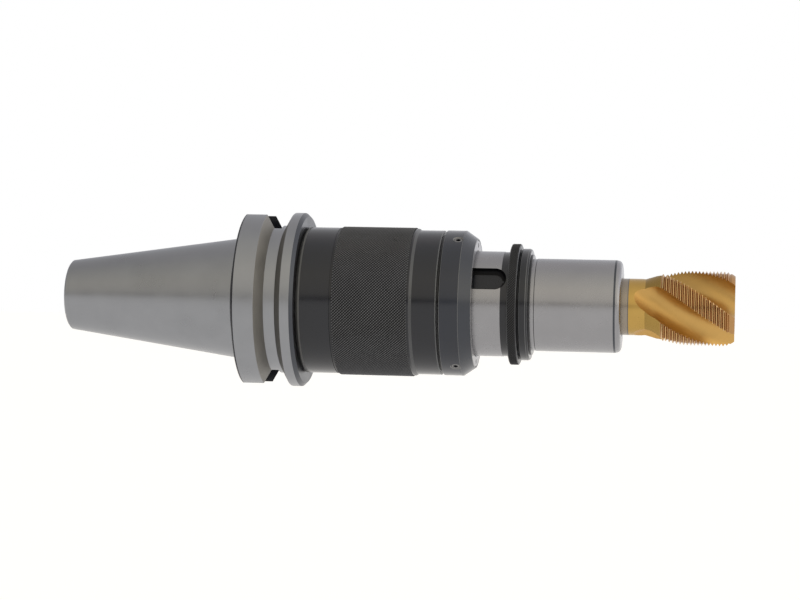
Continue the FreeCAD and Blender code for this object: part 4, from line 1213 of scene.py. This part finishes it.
class TAPHOLDER_OT_tap(TapHolderOperator, Operator):
    """Spiral-fluted tap, with rings one pitch apart in place of a helical thread"""

    bl_idname = "tap_holder.tap"
    bl_label = "Spiral Tap"

    def execute(self, context):
        z = settings().tap
        rear, front = ends("tap")
        piece = self.blank(z)
        # painted shade: darker gold tint on the cone
        repaint(piece, "gold_cone", z.cone_rear + HAIR, z.thread_rear, 0.0)
        repaint(piece, "gold_thread", z.thread_rear, front - 0.01 * MM, 0.0)
        repaint(piece, "gold_crest", z.thread_rear, front - z.lead_in, z.thread_radius - 0.03 * MM)
        repaint(piece, "shank_steel", rear - MM, z.gold_rear - z.gold_line, 0.0)
        # a thin dark line where the gold coating begins, in the edge colour
        repaint(piece, "worn_edge", z.gold_rear - z.gold_line, z.gold_rear, 0.0)
        cutter = self.flute_cutter(z)
        repeat_round(cutter, z.flutes)
        cut(piece, cutter)
        smooth(piece, 15)
        seat(piece, "float", "gold_coating", "tap")
        return {"FINISHED"}

    def blank(self, z):
        """The turned blank of the tap, with its thread ridges and its tapered lead-in."""
        rear, front = ends("tap")
        rear_edge = 1.5 * MM
        tip_edge = 0.3 * MM
        least_ridge = 0.3 * MM
        points = [
            (rear, 0.0),
            (rear, z.shank_radius - rear_edge),
            (rear + rear_edge, z.shank_radius),
            (z.gold_rear - z.gold_line, z.shank_radius),
            (z.gold_rear, z.shank_radius),
            (z.cone_rear, z.shank_radius),
            (z.thread_rear, z.neck_radius),
        ]
        root = z.thread_radius - z.thread_depth
        flank = z.thread_depth * math.tan(z.flank_angle)
        crest = z.pitch - z.root_flat - 2 * flank
        slope = (z.thread_radius - z.tip_radius) / z.lead_in
        place = z.thread_rear + z.root_flat
        while place + z.pitch < front:
            outer = min(z.thread_radius, z.tip_radius + (front - place - flank) * slope)
            foot = min(root, outer - least_ridge)
            points += [
                (place, foot),
                (place + flank, outer),
                (place + flank + crest, outer),
                (place + 2 * flank + crest, foot),
            ]
            place += z.pitch
        points += [(front - tip_edge, z.tip_radius), (front, z.tip_radius - tip_edge), (front, 0.0)]
        return turned("spiral_tap", points, "gold", steps=144)

    def flute_cutter(self, z):
        """A helical bar of round section that leaves the metal in a spoon-shaped run-out at the shank end."""
        front = high("tap").x + 4 * MM
        radius = z.thread_radius
        core = z.flute_core
        centre = (radius ** 2 - core ** 2) / (2 * (radius * math.cos(z.flute_half) - core))
        deselect_all()
        bpy.ops.mesh.primitive_circle_add(vertices=56, radius=centre - core, fill_type="NGON")
        piece = open_new("flute_cutter")
        lay_down("Y")
        bpy.ops.transform.translate(value=(front, 0, -centre))
        angle = z.flute_start + FULL_TURN * (front - z.flute_rear) / z.flute_lead
        turn_about_axis(angle)
        step = 1.2 * MM
        steps = int((front - z.flute_rear) / step)
        run_out = 16
        first_rise = 0.05 * MM
        for index in range(steps + run_out):
            bpy.ops.mesh.extrude_region_move(TRANSFORM_OT_translate={"value": (-step, 0, 0)})
            beyond = index - steps + 1
            twist = FULL_TURN * step / z.flute_lead * (0.5 if beyond > 0 else 1.0)
            angle -= twist
            turn_about_axis(-twist)
            if beyond > 0:
                rise = first_rise * (2 * beyond - 1)
                outwards = Vector((0, math.sin(angle), -math.cos(angle))) * rise
                bpy.ops.transform.translate(value=outwards)
        face_outwards()
        # painted light: lighter gold tint inside the flutes
        piece.data.materials.append(finish_of("gold_flute"))
        return piece


class TAPHOLDER_OT_springs(TapHolderOperator, Operator):
    """Push and pull springs, as coils between their seats"""

    bl_idname = "tap_holder.springs"
    bl_label = "Springs"

    def execute(self, context):
        z = settings().springs
        self.coil(z, "push_spring", z.push_wire, z.push_turns, held=low("push_spring").x)
        self.coil(z, "pull_spring", z.pull_wire, z.pull_turns, held=high("pull_spring").x)
        return {"FINISHED"}

    def coil(self, z, node, wire, turns, held):
        """A round-wire coil between two seats; where it is held is not used."""
        rear = low(node).x
        length = high(node).x - rear
        deselect_all()
        bpy.ops.mesh.primitive_circle_add(vertices=14, radius=wire / 2)
        piece = open_new(node + "_coil")
        piece.data.name = piece.name
        lay_down("X")
        bpy.ops.transform.translate(value=(rear + wire / 2, 0, high(node).y - wire / 2))
        leave_edit()
        screw = piece.modifiers.new("turns", "SCREW")
        screw.axis = "X"
        screw.steps = 48
        screw.render_steps = 48
        screw.screw_offset = (length - wire) / turns
        screw.iterations = turns
        apply_modifier(piece, screw)
        edit(piece)
        bpy.ops.mesh.select_all(action="SELECT")
        bpy.ops.mesh.fill_holes(sides=0)
        face_outwards()
        piece.data.materials.append(finish_of("taper_steel"))
        smooth(piece)
        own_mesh(piece)
        seat(piece, "holder", "spring_steel", node)


class TAPHOLDER_OT_inner_pieces(TapHolderOperator, Operator):
    """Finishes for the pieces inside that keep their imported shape"""

    bl_idname = "tap_holder.inner_pieces"
    bl_label = "Inner Pieces"

    def execute(self, context):
        finishes = {
            "rubber": ("wiper_seal", "adapter_seal_ring", "tap_grip_ring"),
            "bronze": ("front_guide_bush",),
            "ground_steel": (
                "drive_key_1", "drive_key_2", "push_spring_seat", "pull_spring_seat",
                "lock_ball_1", "lock_ball_2", "lock_ball_3",
            ),
            "black_oxide": ("ring_retainer",),
        }
        for finish, nodes in finishes.items():
            for node in nodes:
                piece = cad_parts[node]
                piece.data.materials.clear()
                piece.data.materials.append(finish_of(finish))
        return {"FINISHED"}


class TAPHOLDER_OT_stage(TapHolderOperator, Operator):
    """Camera, soft light, floor and white surroundings"""

    bl_idname = "tap_holder.stage"
    bl_label = "Stage"

    def execute(self, context):
        z = settings().stage
        context.scene.view_settings.view_transform = "Standard"
        self.camera(z)
        self.world()
        self.floor(z)
        return {"FINISHED"}

    def camera(self, z):
        """The camera at the photograph's place."""
        data = bpy.data.cameras.new("photo_camera")
        data.lens = z.focal
        data.sensor_width = 36.0
        data.clip_end = 100.0
        camera = bpy.data.objects.new("photo_camera", data)
        bpy.context.scene.collection.objects.link(camera)
        look = Matrix.Rotation(z.yaw, 4, "Z") @ Matrix.Rotation(math.pi / 2 + z.pitch, 4, "X")
        look = look @ Matrix.Rotation(z.roll, 4, "Z")
        camera.matrix_world = Matrix.Translation((z.eye_x, z.eye_y, z.eye_z)) @ look
        bpy.context.scene.camera = camera

    def world(self):
        """A white room whose walls differ a little in light round the object, as soft boxes and gaps do."""
        world = bpy.data.worlds.new("white_room")
        bpy.context.scene.world = world
        world.use_nodes = True
        tree = world.node_tree
        background = tree.nodes["Background"]
        direction = tree.nodes.new("ShaderNodeSeparateXYZ")
        tree.links.new(tree.nodes.new("ShaderNodeTexCoord").outputs["Generated"], direction.inputs[0])
        towards = math_node(tree, "MULTIPLY", direction.outputs["Y"], -1.0)
        angle = math_node(tree, "ARCTAN2", direction.outputs["Z"], towards)
        share = math_node(tree, "ADD", math_node(tree, "DIVIDE", angle, FULL_TURN), 0.5)
        ramp = tree.nodes.new("ShaderNodeValToRGB")
        tree.links.new(share, ramp.inputs["Fac"])
        stops = ramp.color_ramp.elements
        for index, (degrees, colour) in enumerate(ROOM_LIGHT):
            place = degrees / 360 + 0.5
            stop = stops[index] if index < 2 else stops.new(place)
            stop.position = place
            stop.color = (*colour, 1)
        sides = tree.nodes.new("ShaderNodeFloatCurve")
        curve = sides.mapping.curves[0]
        for index, (across, light) in enumerate(ROOM_SIDES):
            if index < 2:
                curve.points[index].location = (across, light)
            else:
                curve.points.new(across, light)
        sides.mapping.update()
        tree.links.new(map_to(tree, direction.outputs["X"], 0.0, 1.0, -1.0, 1.0), sides.inputs["Value"])
        strength = math_node(tree, "MULTIPLY", sides.outputs["Value"], 2.0)
        rays = tree.nodes.new("ShaderNodeLightPath").outputs["Is Camera Ray"]
        white = (1.0, 1.0, 1.0, 1.0)
        shown = blend_colours(tree, rays, white, white)
        tree.links.new(ramp.outputs["Color"], shown.node.inputs["A"])
        tree.links.new(shown, background.inputs["Color"])
        plain = math_node(tree, "SUBTRACT", 1.0, rays)
        lit = math_node(tree, "ADD", math_node(tree, "MULTIPLY", strength, plain), rays)
        tree.links.new(lit, background.inputs["Strength"])

    def floor(self, z):
        """A pale floor well below the object, which is held up by its taper."""
        deselect_all()
        bpy.ops.mesh.primitive_grid_add(x_subdivisions=8, y_subdivisions=8, size=60)
        floor = open_new("floor")
        bpy.ops.transform.translate(value=(0, 0, -z.floor_drop))
        leave_edit()
        material = bpy.data.materials.new("pale_floor")
        material.use_nodes = True
        tree = material.node_tree
        shader = tree.nodes["Principled BSDF"]
        shader.inputs["Base Color"].default_value = (*settings().colours.floor, 1)
        shader.inputs["Roughness"].default_value = 0.9
        shader.inputs["Specular IOR Level"].default_value = 0.0
        shader.inputs["Emission Color"].default_value = (1, 1, 1, 1)
        path = tree.nodes.new("ShaderNodeLightPath")
        seen = math_node(tree, "MAXIMUM", path.outputs["Is Camera Ray"], path.outputs["Is Glossy Ray"])
        seen = math_node(tree, "MAXIMUM", seen, path.outputs["Is Transmission Ray"])
        lift = math_node(tree, "MULTIPLY", seen, z.floor_lift)
        tree.links.new(lift, shader.inputs["Emission Strength"])
        floor.data.materials.append(material)


class TAPHOLDER_PT_sidebar(Panel):
    """Lists the steps that build the tap holder"""

    bl_idname = "TAPHOLDER_PT_sidebar"
    bl_label = "Tap Holder"
    bl_space_type = "VIEW_3D"
    bl_region_type = "UI"
    bl_category = "Tap Holder"

    def draw(self, context):
        for step in STEPS:
            self.layout.operator(step.bl_idname)


STEPS = (
    TAPHOLDER_OT_shank,
    TAPHOLDER_OT_housing,
    TAPHOLDER_OT_nut,
    TAPHOLDER_OT_float,
    TAPHOLDER_OT_release_ring,
    TAPHOLDER_OT_adapter,
    TAPHOLDER_OT_tap,
    TAPHOLDER_OT_springs,
    TAPHOLDER_OT_inner_pieces,
    TAPHOLDER_OT_stage,
)

CLASSES = (
    TapHolderShankSizes,
    TapHolderHousingSizes,
    TapHolderNutSizes,
    TapHolderFloatSizes,
    TapHolderRingSizes,
    TapHolderAdapterSizes,
    TapHolderSpringSizes,
    TapHolderTapSizes,
    TapHolderColours,
    TapHolderStageSizes,
    TapHolderSettings,
    *STEPS,
    TAPHOLDER_PT_sidebar,
)


def register():
    """Register every class and hang the settings on the scene."""
    for item in CLASSES:
        bpy.utils.register_class(item)
    bpy.types.Scene.tap_holder = PointerProperty(type=TapHolderSettings)


def unregister():
    """Take everything back out."""
    del bpy.types.Scene.tap_holder
    for item in reversed(CLASSES):
        bpy.utils.unregister_class(item)


def main():
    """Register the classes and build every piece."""
    register()
    for step in STEPS:
        category, name = step.bl_idname.split(".")
        getattr(getattr(bpy.ops, category), name)()


if __name__ == "__main__":
    main()
